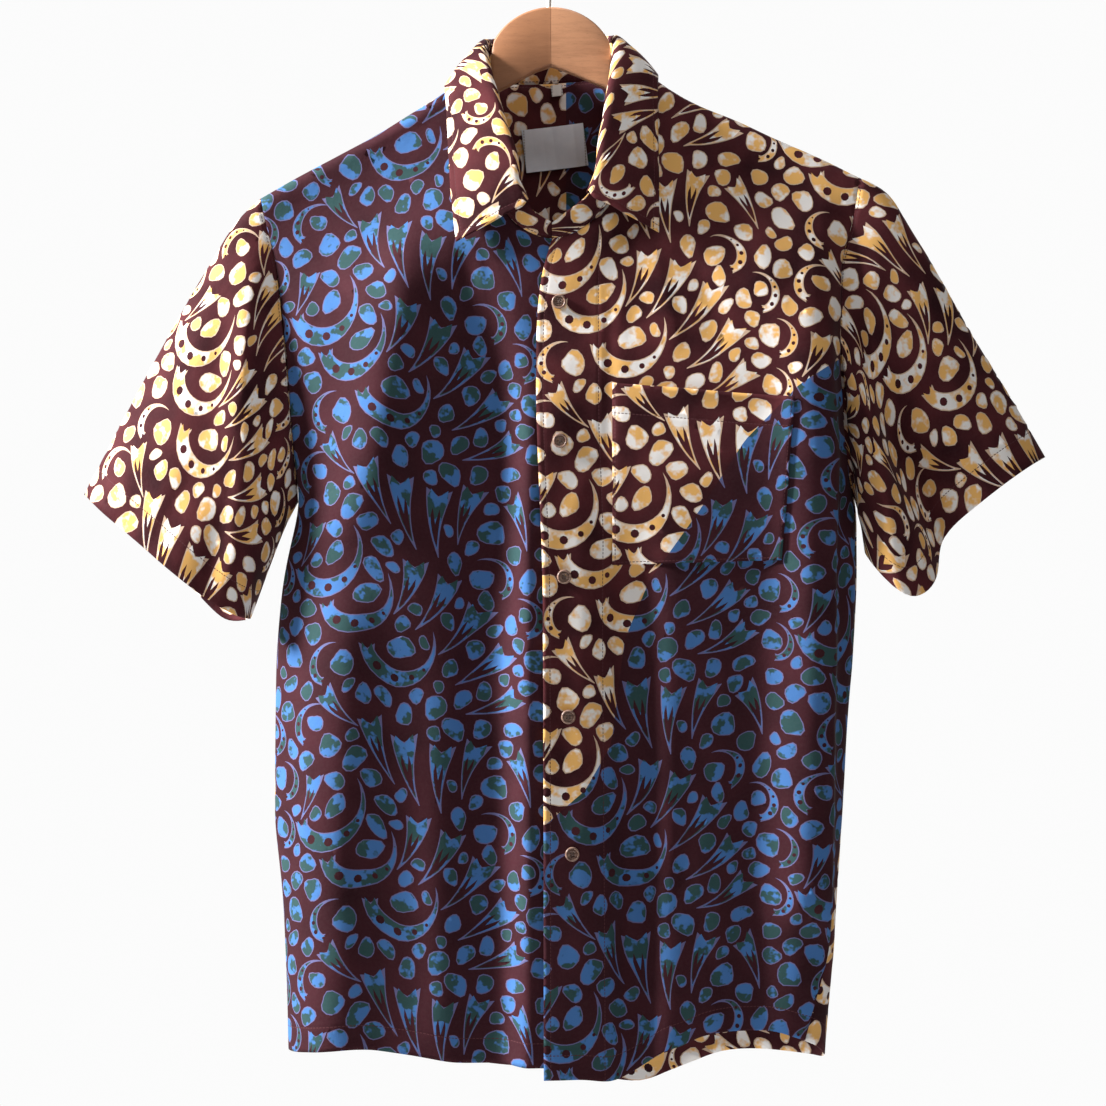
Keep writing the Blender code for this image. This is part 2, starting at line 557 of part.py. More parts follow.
# ---------------------------------------------------------------- collar
def collar_grids(seam, crease, edge, leaf_from, leaf_to):
    """The stand from the neck seam up, and the leaf that rolls over it and hangs down."""
    up = unit(crease - seam)
    out = unit(np.cross(up, np.gradient(seam, axis=0)))
    part = slice(leaf_from, leaf_to)
    stand_top = crease.copy()
    stand_top[part] -= LEAF_ROLL * (up[part] + out[part])
    stand = np.stack([seam, (seam + stand_top) / 2, stand_top])
    rows = [stand_top[part]]
    for angle in np.radians(LEAF_ROLL_TURNS):
        rows.append(stand_top[part] + LEAF_ROLL * (math.sin(angle) * up[part]
                                                   + (1 - math.cos(angle)) * out[part]))
    start = rows[-1]
    for t in np.linspace(0, 1, LEAF_ROWS + 1)[1:]:
        bow = LEAF_BOW * math.sin(math.pi * t) * out[part]
        rows.append(start + (edge - start) * t + bow)
    return stand, np.array(rows)


def tree_of(pieces):
    bm = bmesh.new()
    for piece in pieces:
        bm.from_mesh(piece.data)
    tree = BVHTree.FromBMesh(bm)
    bm.free()
    return tree


def kept_clear(grid, outsides, gap, first_row):
    """Lift the points that come too near the outside of the pieces below them."""
    points, quads = [], []
    for below, outward in outsides:
        rows, columns = below.shape[:2]
        start = len(points)
        points += [Vector(point) for point in below.reshape(-1, 3)]
        for r in range(rows - 1):
            for c in range(columns - 1):
                a = start + r * columns + c
                quad = (a, a + 1, a + columns + 1, a + columns)
                quads.append(quad[::-1] if outward < 0 else quad)
    tree = BVHTree.FromPolygons(points, quads)
    for row in grid[first_row:]:
        for point in row:
            for _ in range(3):
                place, normal, _, _ = tree.find_nearest(Vector(point))
                away = Vector(point) - place
                height = away.dot(normal)
                if height >= gap or (away - normal * height).length > gap:
                    break
                point += np.array(normal) * (gap - height)
    return grid


# ---------------------------------------------------------------- pieces on the panels
def between(grid, row, column):
    """A point of a grid at a row and column that need not be whole."""
    r = min(int(row), grid.shape[0] - 2)
    c = min(int(column), grid.shape[1] - 2)
    down, across = row - r, column - c
    return ((grid[r, c] * (1 - across) + grid[r, c + 1] * across) * (1 - down)
            + (grid[r + 1, c] * (1 - across) + grid[r + 1, c + 1] * across) * down)


def crossing(values, target):
    """Where a rising or falling row of values passes the target."""
    k = int(np.argmax((values[:-1] - target) * (values[1:] - target) <= 0))
    return k + (target - values[k]) / (values[k + 1] - values[k])


def spot_at(panel, x, z):
    """Row and column of the panel at which a point has this x and z."""
    row, column = len(panel) / 2, panel.shape[1] / 2
    for _ in range(SPOT_ROUNDS):
        line = np.array([between(panel, row, c) for c in range(panel.shape[1])])
        column = crossing(line[:, 0], x)
        line = np.array([between(panel, r, column) for r in range(len(panel))])
        row = crossing(line[:, 2], z)
    return row, column


def pocket_grid(panel, normals):
    """Points of the panel on an even net between the pocket's corners, moved out."""
    top, low = np.array(POCKET_TOP), np.array(POCKET_BOTTOM)
    points, outward = [], []
    for down in np.linspace(0, 1, POCKET_ROWS):
        left, right = top + (low - top) * down
        spots = [spot_at(panel, *(left + (right - left) * across))
                 for across in np.linspace(0, 1, POCKET_COLUMNS)]
        points.append([between(panel, *spot) for spot in spots])
        outward.append([between(normals, *spot) for spot in spots])
    points, outward = np.array(points), unit(np.array(outward))
    lift = np.full(points.shape[:2], POCKET_GAP + POCKET_WALL)
    across = np.linspace(0, 1, POCKET_COLUMNS)
    lift[0] += POCKET_MOUTH * np.sin(math.pi * across)**2
    return points + outward * lift[..., None], outward


def button(name, place, normal, material):
    """A turned disc with a raised rim, lying on the placket."""
    radius, high = BUTTON_RADIUS, BUTTON_THICKNESS
    profile = [(0.0, 0.0), (radius * 0.86, 0.0), (radius, high * 0.35),
               (radius * 0.93, high), (radius * 0.74, high), (radius * 0.60, high * 0.62),
               (0.0, high * 0.62)]
    bm = bmesh.new()
    verts = [bm.verts.new((r, 0, z)) for r, z in profile]
    edges = [bm.edges.new(pair) for pair in zip(verts, verts[1:])]
    bmesh.ops.spin(bm, geom=verts + edges, angle=math.tau, steps=16, axis=(0, 0, 1),
                   cent=(0, 0, 0), use_merge=True)
    bmesh.ops.remove_doubles(bm, verts=bm.verts[:], dist=1e-6)
    turn = normal.to_track_quat("Z", "Y").to_matrix().to_4x4()
    bmesh.ops.transform(bm, matrix=turn, verts=bm.verts[:])
    bmesh.ops.translate(bm, vec=place + normal * BUTTON_GAP, verts=bm.verts[:])
    return finish(name, bm, material, 30.0)


def inside_patch(tree, centre, size, turn, steps):
    """Points on the inside of the back, where a label is sewn."""
    spin = np.array([[math.cos(turn), -math.sin(turn)], [math.sin(turn), math.cos(turn)]])
    grid, normals = [], []
    for down in np.linspace(0.5, -0.5, steps[1] + 1):
        row = [np.array(centre) + spin @ np.array([across * size[0], down * size[1]])
               for across in np.linspace(-0.5, 0.5, steps[0] + 1)]
        hits = [tree.ray_cast(Vector((x, 0, z)), Vector((0, 1, 0)))[:2] for x, z in row]
        grid.append([place for place, _ in hits])
        normals.append([normal for _, normal in hits])
    grid, normals = np.array(grid), unit(np.array(normals))
    return grid + normals * (LABEL_GAP + LABEL_WALL), normals


# ---------------------------------------------------------------- hanger
def wood_edges(x):
    """Height of the upper and the lower edge of the wood."""
    crown = [(CROWN_CENTRE[0] + CROWN_HALF * t,
              CROWN_CENTRE[1] + math.sqrt(CROWN_RADIUS**2 - (CROWN_HALF * t)**2))
             for t in np.sin(np.linspace(-math.pi / 2, math.pi / 2, 15))]
    arm_x = [np.linspace(ARM_TIPS[0], ARMS_FROM[0], 9), np.linspace(ARMS_FROM[1], ARM_TIPS[1], 9)]
    arms = [list(zip(part, shoulder_line(part) - (WALL + ARM_GAP)
                     * np.hypot(1, np.gradient(shoulder_line(part), part)))) for part in arm_x]
    top = along(np.array(arms[0] + RIGHT_FLANK[::-1] + crown + LEFT_FLANK + arms[1]), x)
    away = x - WOOD_UNDER_APEX[0]
    slope = WOOD_UNDER_SLOPES[0] if away < 0 else WOOD_UNDER_SLOPES[1]
    return top, WOOD_UNDER_APEX[1] - slope * (math.hypot(away, 0.004) - 0.004)


def hanger_wood(material):
    """A sawn and rounded bow, lofted from upright sections along its length."""
    radius = ARM_THICKNESS / 2
    crown = CROWN_CENTRE[0] + CROWN_HALF * np.sin(np.linspace(-math.pi / 2, math.pi / 2, 13))
    stations = np.r_[np.linspace(ARM_TIPS[0], ARMS_FROM[0], 7), [x for x, _ in RIGHT_FLANK[::-1]],
                     crown, [x for x, _ in LEFT_FLANK], np.linspace(ARMS_FROM[1], ARM_TIPS[1], 7)]
    bm = bmesh.new()
    loops = []
    for station, x in enumerate(stations):
        top, under = wood_edges(x)
        end = min(station, len(stations) - 1 - station)
        squeeze = (ARM_END_SHARE, 1.0)[min(end, 1)]
        middle, half = (top + under) / 2, (top - under) / 2 * squeeze
        round_off = min(radius * squeeze, half)
        ring = []
        for angle in np.linspace(0, math.tau, 16, endpoint=False) + math.pi / 16:
            lift = math.copysign(half - round_off, math.sin(angle))
            ring.append(bm.verts.new((x, round_off * math.cos(angle),
                                      middle + lift + round_off * math.sin(angle))))
        loops.append([bm.edges.new((ring[k - 1], ring[k])) for k in range(len(ring))])
    for one, other in zip(loops, loops[1:]):
        bmesh.ops.bridge_loops(bm, edges=one + other)
    for ends in (loops[0], loops[-1]):
        bmesh.ops.edgeloop_fill(bm, edges=ends)
    return finish("hanger_wood", bm, material, 50.0)


def hanger_hook(material):
    """Bent steel wire: a short stem that swings out and round over the rail."""
    centre_z, bend = -HOOK_BEND, HOOK_BEND + HOOK_WIRE
    stem_foot = CROWN_CENTRE[1] + math.sqrt(CROWN_RADIUS**2 - CROWN_CENTRE[0]**2) + SEAM
    start = math.radians(HOOK_FROM)
    arc = [(bend * math.cos(a), centre_z + bend * math.sin(a))
           for a in np.linspace(start, math.radians(HOOK_TO), 26)]
    points = [(0, stem_foot), (0, stem_foot + 0.004)]
    p0, p1 = np.array([0, stem_foot + 0.008]), np.array(arc[0])
    pull = np.linalg.norm(p1 - p0)
    t0, t1 = np.array([0, pull]), np.array([-math.sin(start), math.cos(start)]) * pull
    for t in np.linspace(0, 1, 7)[:-1]:
        points.append(p0 * (2 * t**3 - 3 * t**2 + 1) + t0 * (t**3 - 2 * t**2 + t)
                      + p1 * (3 * t**2 - 2 * t**3) + t1 * (t**3 - t**2))
    points += arc
    curve = bpy.data.curves.new("hanger_hook", "CURVE")
    curve.dimensions = "3D"
    curve.bevel_depth = HOOK_WIRE
    curve.bevel_resolution = 3
    curve.use_fill_caps = True
    spline = curve.splines.new("POLY")
    spline.points.add(len(points) - 1)
    for target, (x, z) in zip(spline.points, points):
        target.co = (x, 0, z, 1)
    curve.materials.append(material)
    hook = bpy.data.objects.new("hanger_hook", curve)
    bpy.context.collection.objects.link(hook)
    return hook


def make_material(name, colour, roughness, metallic=0.0):
    material = bpy.data.materials.new(name)
    material.use_nodes = True
    shader = material.node_tree.nodes["Principled BSDF"]
    shader.inputs["Base Color"].default_value = (*colour, 1)
    shader.inputs["Roughness"].default_value = roughness
    shader.inputs["Metallic"].default_value = metallic
    return material


# ---------------------------------------------------------------- the whole shirt
for leftover in list(bpy.data.objects):
    bpy.data.objects.remove(leftover)

cream_cotton = make_material("cream_batik", (0.34, 0.22, 0.17), 0.85)
blue_cotton = make_material("blue_batik", (0.10, 0.08, 0.16), 0.85)
wood = make_material("beech", (0.46, 0.22, 0.10), 0.45)
steel = make_material("steel_wire", (0.60, 0.60, 0.62), 0.30, 1.0)
horn = make_material("button_brown", (0.10, 0.05, 0.05), 0.40)
satin = make_material("label_satin", (0.60, 0.60, 0.62), 0.50)

neck, fold_line, leaf_edge = collar_lines()
right_seam = neck[:FRONT_SEAM_COLUMNS + 1]
left_seam = neck[-FRONT_SEAM_COLUMNS - 1:][::-1]
back_seam = neck[FRONT_SEAM_COLUMNS:-FRONT_SEAM_COLUMNS]

front_right = front_panel(right_seam, UNDER_EDGE, RIGHT_ARMHOLE, FRONT_HEM,
                          lambda z: -1, True)
front_left = front_panel(left_seam, PLACKET_EDGE, LEFT_ARMHOLE, UPPER_FRONT_HEM,
                         lambda z: along(LEFT_SEAM_TURN, z), False)
whole_back = back_panel(back_seam, front_right[0, FRONT_SEAM_COLUMNS + 1:],
                        front_left[0, FRONT_SEAM_COLUMNS + 1:])
front_to_underarm = len(FRONT_SHARES) - 1 + len(LEVEL_ROWS)
back_to_underarm = len(YOKE_SHARES) - 1 + len(UPPER_BACK_ROWS) + len(LEVEL_ROWS)
sleeve_right = sleeve(front_right[:front_to_underarm, -1], whole_back[:back_to_underarm, 0],
                      RIGHT_SLEEVE_TOP, RIGHT_SLEEVE_UNDER, RIGHT_HEM_FRONT, RIGHT_HEM_BACK,
                      RIGHT_SLEEVE_FOLDS)
sleeve_left = sleeve(front_left[:front_to_underarm, -1], whole_back[:back_to_underarm, -1],
                     LEFT_SLEEVE_TOP, LEFT_SLEEVE_UNDER, LEFT_HEM_FRONT, LEFT_HEM_BACK,
                     LEFT_SLEEVE_FOLDS)
leaf_from = COLLAR_PARTS[0][2]
leaf_to = len(neck) - COLLAR_PARTS[-1][2]
stand, leaf = collar_grids(neck, fold_line, leaf_edge, leaf_from, leaf_to)

outer = {
    "front_right": (front_right, 1, False), "front_left": (front_left, -1, False),
    "back": (whole_back, 1, False), "sleeve_right": (sleeve_right, -1, True),
    "sleeve_left": (sleeve_left, 1, True), "stand": (stand, -1, False),
    "leaf": (leaf, -1, False)}
normals = shared_normals(outer)

# each seam: two edges and the lines of points next to them, which part along their surfaces
neck_columns = FRONT_SEAM_COLUMNS + 1
shoulder_columns = SHOULDER_COLUMNS + 1
armhole_front = slice(0, front_to_underarm)
armhole_back = slice(0, back_to_underarm)
back_of_sleeve = np.r_[0, np.arange(len(sleeve_right[0]) - 1, front_to_underarm - 2, -1)]
moved = {name: grid.copy() for name, (grid, _, _) in outer.items()}
seams = []
for side, edge_column, sleeve_name in (("front_right", 0, "sleeve_right"),
                                       ("front_left", -1, "sleeve_left")):
    beside = 1 if edge_column == 0 else -2
    shoulder = np.arange(FRONT_SEAM_COLUMNS, FRONT_SEAM_COLUMNS + shoulder_columns)
    on_back = np.arange(SHOULDER_COLUMNS, -1, -1) if edge_column == 0 else np.arange(
        whole_back.shape[1] - shoulder_columns, whole_back.shape[1])
    on_stand = np.arange(neck_columns) if edge_column == 0 else np.arange(
        len(neck) - 1, len(neck) - 1 - neck_columns, -1)
    seams += [
        (side, (0, shoulder), (1, shoulder), "back", (0, on_back), (1, on_back)),
        (side, (0, slice(neck_columns)), (1, slice(neck_columns)),
         "stand", (0, on_stand), (1, on_stand)),
        (side, (armhole_front, -1), (armhole_front, -2),
         sleeve_name, (0, slice(front_to_underarm)), (1, slice(front_to_underarm))),
        (side, (slice(front_to_underarm - 1, None), -1), (slice(front_to_underarm - 1, None), -2),
         "back", (slice(back_to_underarm - 1, None), edge_column),
         (slice(back_to_underarm - 1, None), beside)),
        ("back", (armhole_back, edge_column), (armhole_back, beside),
         sleeve_name, (0, back_of_sleeve), (1, back_of_sleeve))]
back_neck = np.arange(SHOULDER_COLUMNS, SHOULDER_COLUMNS + len(back_seam))
stand_neck = np.arange(FRONT_SEAM_COLUMNS, FRONT_SEAM_COLUMNS + len(back_seam))
seams += [
    ("back", (0, back_neck), (1, back_neck), "stand", (0, stand_neck), (1, stand_neck)),
    ("stand", (-1, slice(leaf_from, leaf_to)), (-2, slice(leaf_from, leaf_to)),
     "leaf", (0, slice(None)), (1, slice(None)))]
for one, edge, beside, other, other_edge, other_beside in seams:
    way, back_way = part_seam(outer[one][0][edge], outer[one][0][beside],
                              outer[other][0][other_edge], outer[other][0][other_beside])
    moved[one][edge] += way
    moved[other][other_edge] += back_way

yoke_row = len(YOKE_SHARES) - 1
yoke = moved["back"][:yoke_row + 1].copy()
lower_back = moved["back"][yoke_row:].copy()
way, back_way = part_seam(yoke[-1], yoke[-2], lower_back[0], lower_back[1])
yoke[-1] += way
lower_back[0] += back_way

panels = [
    cloth("front_right", moved["front_right"], normals["front_right"], blue_cotton),
    cloth("front_left", moved["front_left"], normals["front_left"], cream_cotton),
    cloth("yoke", yoke, normals["back"][:yoke_row + 1], cream_cotton),
    cloth("back", lower_back, normals["back"][yoke_row:], cream_cotton)]
for name in ("sleeve_right", "sleeve_left"):
    cloth(name, moved[name], normals[name], cream_cotton, closed=True)
cloth("collar_stand", moved["stand"], normals["stand"], cream_cotton)
leaf = kept_clear(moved["leaf"], [outer[name][:2] for name in ("front_right", "front_left", "back")],
                  LEAF_CLEARANCE, len(leaf) - LEAF_ROWS)
cloth("collar_leaf", leaf, normals["leaf"], cream_cotton, COLLAR_WALL)

pocket, pocket_normals = pocket_grid(front_left, normals["front_left"])
cloth("pocket", pocket, pocket_normals, blue_cotton, POCKET_WALL)

placket = tree_of(panels[1:2])
for number, (x, z) in enumerate(BUTTONS, start=1):
    place, normal, _, _ = placket.ray_cast(Vector((x, -1, z)), Vector((0, 1, 0)))
    button(f"button_{number}", place, normal, horn)

inside = tree_of(panels[2:3])
for name, centre, size, turn, steps in (
        ("neck_label", LABEL_CENTRE, LABEL_SIZE, LABEL_TURN, (6, 4)),
        ("size_tab", TAB_CENTRE, TAB_SIZE, LABEL_TURN, (2, 2))):
    patch, facing = inside_patch(inside, centre, size, turn, steps)
    cloth(name, patch, facing, satin, LABEL_WALL)

hanger_wood(wood)
hanger_hook(steel)
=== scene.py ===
"""Looks of a short-sleeved batik shirt that hangs on a wooden coat hanger."""
import math

import bmesh
import bpy
import numpy as np
from mathutils import Matrix, Vector, geometry
from mathutils.bvhtree import BVHTree
from mathutils.kdtree import KDTree


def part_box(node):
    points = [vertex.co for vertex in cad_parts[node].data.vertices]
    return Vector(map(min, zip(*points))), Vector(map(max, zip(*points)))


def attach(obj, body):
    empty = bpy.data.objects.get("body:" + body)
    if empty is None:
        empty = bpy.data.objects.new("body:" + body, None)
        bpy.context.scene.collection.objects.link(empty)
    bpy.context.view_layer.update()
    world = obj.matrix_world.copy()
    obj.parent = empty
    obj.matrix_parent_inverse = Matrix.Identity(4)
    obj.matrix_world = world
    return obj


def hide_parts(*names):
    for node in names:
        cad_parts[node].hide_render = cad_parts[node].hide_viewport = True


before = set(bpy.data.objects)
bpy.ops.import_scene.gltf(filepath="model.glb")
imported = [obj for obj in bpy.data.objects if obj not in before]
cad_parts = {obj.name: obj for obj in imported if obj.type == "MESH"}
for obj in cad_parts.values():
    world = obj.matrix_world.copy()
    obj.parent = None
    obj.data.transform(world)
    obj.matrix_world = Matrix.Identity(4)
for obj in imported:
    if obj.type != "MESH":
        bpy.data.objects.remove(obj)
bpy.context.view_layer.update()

# ================================================================ the wearer's right front
# One panel of thin printed cotton, from the shoulder down to a turned hem, all in the blue
# colourway. It is sewn to the yoke, the back, the sleeve and the collar, and its straight edge
# lies under the left front, where it is buttoned.
HEM = 0.018                # from the hem's fold up to its stitches
UNDER_EDGE = 0.004         # from the straight edge in to its stitches
NECK_RIGHT, SHOULDER_RIGHT = (0.0100, -0.037, -0.2368), (-0.2165, 0, -0.2022)   # ends of its top edge
RIGHT_FOLDS = [
    # x and z at the top and foot, height, reach to the left and right, bow, in millimetres
    (-46, -215, -40, -1150, -10.0, 64, 17, 3), (-92, -225, -150, -480, 5.0, 24, 40, 6),
    (-166, -420, -182, -1150, 6.5, 16, 48, -6), (-66, -236, -52, -350, -2.0, 7, 9, 2),
    (-196, -265, -172, -420, -2.2, 8, 10, -4), (-118, -600, -100, -900, -2.5, 24, 16, 4),
    (-84, -520, -88, -900, 2.0, 14, 22, 3), (-140, -215, -120, -330, -1.6, 12, 10, 5),
    (-17, -240, -19, -1150, 6.5, 15, 7, 2),
    (-150, -640, -128, -905, -1.8, 6, 13, 4), (-66, -420, -60, -640, -2.2, 5, 12, 3),
    (-108, -300, -124, -470, 1.8, 14, 6, -3), (-50, -215, -46, -600, -6.0, 46, 16, 2)]

# ---------------------------------------------------------------- a panel's shape
# A panel is a single layer of cloth that lies on its own wall in the frame. The wall's outer
# side is read back as rows of points, and lengths along them give the flat cut.
CLOTH = 0.0009             # thickness of the cloth as it shows
FINE = 0.0017              # spacing of the points that carry a panel's curves
SAME = 3e-6                # lengths and places that differ by less are the same
FROM_FRONT, FROM_BEHIND = (0, 1, 0), (0, -1, 0)   # the ways that a look at the shirt goes


def rows_of(node, seed, towards, first, last, wall=0.0016, ring=False):
    """Outer side of a wall of cloth as rows of points, left to right as seen from outside.

    The side is the one that a look from the seed meets. The first row lies between the points
    first and last. In a ring it is a whole rim, from the first point round by way of the last.
    """
    bm = bmesh.new()
    bm.from_mesh(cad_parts[node].data)
    bmesh.ops.remove_doubles(bm, verts=bm.verts[:], dist=SAME)
    bm.faces.ensure_lookup_table()
    hit, outward, index, _ = BVHTree.FromBMesh(bm).ray_cast(Vector(seed), Vector(towards))
    edge_faces = {face for face in bm.faces
                  if any(abs(edge.calc_length() - wall) < SAME for edge in face.edges)}
    side, todo = {bm.faces[index]}, [bm.faces[index]]
    while todo:
        for edge in todo.pop().edges:
            new = set(edge.link_faces) - side - edge_faces
            side |= new
            todo += new
    link, rim = {}, {}
    for edge in {edge for face in side for edge in face.edges}:
        for one in edge.verts:
            other = edge.other_vert(one)
            link.setdefault(one, set()).add(other)
            if sum(face in side for face in edge.link_faces) == 1:
                rim.setdefault(one, set()).add(other)
    start, end = (min(rim, key=lambda vert: (vert.co - Vector(at)).length) for at in (first, last))
    ways = []
    for step in rim[start]:
        way = [start, step]
        while way[-1] is not (start if ring else end):
            way.append(next(vert for vert in rim[way[-1]] if vert is not way[-2]))
        ways.append(way[:-1] if ring else way)
    row = next(way for way in ways if end in way[:len(way) // 2]) if ring else min(ways, key=len)
    rows, seen = [row], set(row)
    while True:
        below = {vert for above in rows[-1] for vert in link[above]} - seen
        if not below:
            break
        head = rows[-1][0]
        row = [min((vert for vert in link[head] if vert in below and (ring or vert in rim)),
                   key=lambda vert: (vert.co - head.co).length)]
        second = rows[-1][1]
        seen.add(row[0])
        while len(row) < len(rows[-1]):
            row.append(min((vert for vert in link[row[-1]] if vert in below - seen),
                           key=lambda vert: (vert.co - second.co).length))
            seen.add(row[-1])
        rows.append(row)
    if ring:
        rows = [row + row[:1] for row in rows]
    grid = np.array([[vert.co[:] for vert in row] for row in rows])
    bm.free()
    nearest = np.linalg.norm(grid[:-1, :-1] - hit, axis=2).argmin()
    r, c = divmod(int(nearest), grid.shape[1] - 1)
    facing = np.cross(grid[r + 1, c] - grid[r, c], grid[r, c + 1] - grid[r, c])
    return grid if facing @ outward > 0 else grid[:, ::-1]


def spline(values, places, at):
    """Natural cubic spline through values at rising places."""
    step = np.diff(places)
    slope = np.diff(values, axis=0) / step[:, None]
    system = np.eye(len(places))
    wanted = np.zeros_like(values)
    for k in range(1, len(places) - 1):
        system[k, k - 1:k + 2] = step[k - 1], 2 * (step[k - 1] + step[k]), step[k]
        wanted[k] = 6 * (slope[k] - slope[k - 1])
    bend = np.linalg.solve(system, wanted)
    k = np.clip(np.searchsorted(places, at) - 1, 0, len(places) - 2)
    t = ((at - places[k]) / step[k])[:, None]
    h = step[k][:, None]
    return (values[k] * (1 - t) + values[k + 1] * t
            + h**2 / 6 * (((1 - t)**3 - (1 - t)) * bend[k] + (t**3 - t) * bend[k + 1]))


def finer(grid, spacing):
    """The same surface with points about spacing apart."""
    for _ in range(2):
        lengths = np.linalg.norm(np.diff(grid, axis=0), axis=2)
        places = np.r_[0, np.cumsum(lengths.mean(axis=1))]
        steps = max(int(round(lengths.sum(axis=0).max() / spacing)), 4)
        shares = np.interp(np.linspace(0, places[-1], steps + 1), places, np.arange(len(places)))
        columns = []
        for column in range(grid.shape[1]):
            own = np.r_[0, np.cumsum(np.maximum(lengths[:, column], 1e-5))]
            columns.append(spline(grid[:, column], own, np.interp(shares, np.arange(len(own)), own)))
        grid = np.array(columns)
    return grid


FORWARD = 0.8              # how much a fold leans to the front rather than straight out
FADE = 0.3                 # share of a fold's length over which it fades out at each end
CREASE_LONG, CREASE_HIGH, CREASE_WIDE = 0.075, 0.0006, (0.004, 0.010)   # of the small creases


def creased(grid, folds, small=0, seed=0):
    """The cloth with its folds, as listed, and some small uneven creases, outwards and forwards.

    A fold runs straight down or bows to one side. It is lifted where its height is above
    nought and pressed in where it is below, and may be steeper on one side.
    """
    out = np.cross(np.gradient(grid, axis=0), np.gradient(grid, axis=1))
    out /= np.linalg.norm(out, axis=2, keepdims=True) + 1e-12
    out -= (0, FORWARD, 0)
    out /= np.linalg.norm(out, axis=2, keepdims=True) + 1e-12
    x, z = grid[..., 0], grid[..., 2]
    folds = [[value / 1000 for value in fold] for fold in folds]
    chance = np.random.default_rng(seed)
    for _ in range(small):
        start = grid[chance.integers(grid.shape[0]), chance.integers(grid.shape[1])]
        lean, run = chance.normal(0, 0.35), chance.uniform(0.4, 1.4) * CREASE_LONG
        wide = chance.uniform(*CREASE_WIDE)
        folds.append((start[0], start[2], start[0] + run * math.sin(lean), start[2] - run * math.cos(lean),
                      CREASE_HIGH * chance.choice((-1.2, 0.8)), wide, wide * chance.uniform(0.8, 1.6), 0.004))
    lift = np.zeros(grid.shape[:2])
    for x0, z0, x1, z1, height, left, right, bow in folds:
        length = math.hypot(x1 - x0, z1 - z0)
        wx, wz = (x1 - x0) / length, (z1 - z0) / length
        along = ((x - x0) * wx + (z - z0) * wz) / length
        beside = (z - z0) * wx - (x - x0) * wz - bow * 4 * along * (1 - along)
        fade = np.clip(np.minimum(along, 1 - along) / FADE, 0, 1)
        lift += (height * fade**2 * (3 - 2 * fade)
                 * np.exp(-(beside / np.where(beside < 0, left, right))**2))
    return grid + out * lift[..., None]


def flat_cut(grid, upright=True, straight=0):
    """Places of the points on the flat cloth, across and up, from the column that is cut straight."""
    across = np.diff(grid, axis=1)
    down = np.diff(grid, axis=0)
    if upright:
        across[..., 2] = 0
        down[..., 0] = 0
    across = np.pad(np.cumsum(np.linalg.norm(across, axis=2), axis=1), ((0, 0), (1, 0)))
    across = across - across[:, straight][:, None]
    down = np.pad(np.cumsum(np.linalg.norm(down, axis=2), axis=0), ((1, 0), (0, 0)))
    if upright:
        return np.stack([across, grid[:1, :, 2] - down], axis=2)
    return np.stack([across, down[-1] - down], axis=2)


# ---------------------------------------------------------------- the batik print
# Horns, split wedges and pebbles, stamped in wax in strips, with a half drop from strip to
# strip. Each motif has a pale edge line, and dots and spears in it are left in the ground.
STAMP = (0.204, 0.188)     # width and height of one repeat
EDGE_LINE = 0.0008         # width of a motif's pale edge
GROUND, FILL, EDGE = 0, 1, 2   # what an outline encloses


def outline(spine, half):
    """Closed outline of a stroke: its spine with a half width at each point."""
    way = np.gradient(spine, axis=0)
    way /= np.linalg.norm(way, axis=1, keepdims=True)
    beside = np.stack([way[:, 1], -way[:, 0]], axis=1) * half[:, None]
    return np.r_[spine + beside, (spine - beside)[::-1]]


def stroke(spine, half):
    """A stroke's outline, and the outline of what lies within its edge line."""
    thick = half > EDGE_LINE * 1.15
    inner = half[thick] - EDGE_LINE
    inner[[0, -1]] *= 0.7
    return [(EDGE, outline(spine, half)), (FILL, outline(spine[thick], inner))]


def horn(length, curl):
    """A curled horn: hollow cut at its root, pointed at its tip, with shrinking dots."""
    t = np.linspace(0, 1, 17)
    bend = curl * (0.1 * t + 0.9 * t**0.7)
    spine = np.cumsum(np.stack([np.cos(bend), np.sin(bend)], axis=1) * length / 16, axis=0)
    half = length * (0.052 + 0.034 * np.sin(math.pi * np.minimum(t / 0.7, 1))) * (1 - t**2)**0.9
    half[0] = 0.070 * length
    half[-1] = 0.00005
    spine -= (spine[3] + spine[10]) / 2
    back = spine[0] - spine[1]
    shapes = []
    for kind, shape in stroke(spine, half):
        shapes.append((kind, np.r_[shape, [spine[0] - back * (0.75 if kind == EDGE else 1.0)]]))
    for at, share in ((0.20, 0.50), (0.36, 0.46), (0.51, 0.42), (0.64, 0.40)):
        centre = [np.interp(at, t, spine[:, k]) for k in (0, 1)]
        shapes.append((GROUND, blob(np.interp(at, t, half) * share, 9) + centre))
    return shapes


def blade(length, width, curl):
    """A split wedge: pointed at its foot, cut off hollow, with a notched spear in the ground."""
    t = np.linspace(0, 1, 9)
    bend = curl * (t - 0.5)
    spine = np.cumsum(np.stack([np.cos(bend), np.sin(bend)], axis=1) * length / 8, axis=0)
    spine -= spine[5]
    half = width / 2 * (0.03 + 0.97 * t**1.1)
    tip = spine[-1] - spine[-2]
    shapes = stroke(spine, half)
    for number, (kind, shape) in enumerate(shapes):
        top = len(shape) // 2
        shape[top - 1] += tip * (0.60, 0.44)[number]
        shapes[number] = kind, np.insert(shape, top, spine[-1] - tip * (0.60, 0.76)[number], axis=0)
    inner_t = np.linspace(0.16, 0.74, 6)
    inner = np.stack([np.interp(inner_t, t, spine[:, k]) for k in (0, 1)], axis=1)
    slit = outline(inner, np.interp(inner_t, t, half) * np.array([0.1, 0.55, 0.64, 0.66, 0.6, 0.36]))
    return shapes + [(GROUND, np.insert(slit, len(inner), spine[4], axis=0))]


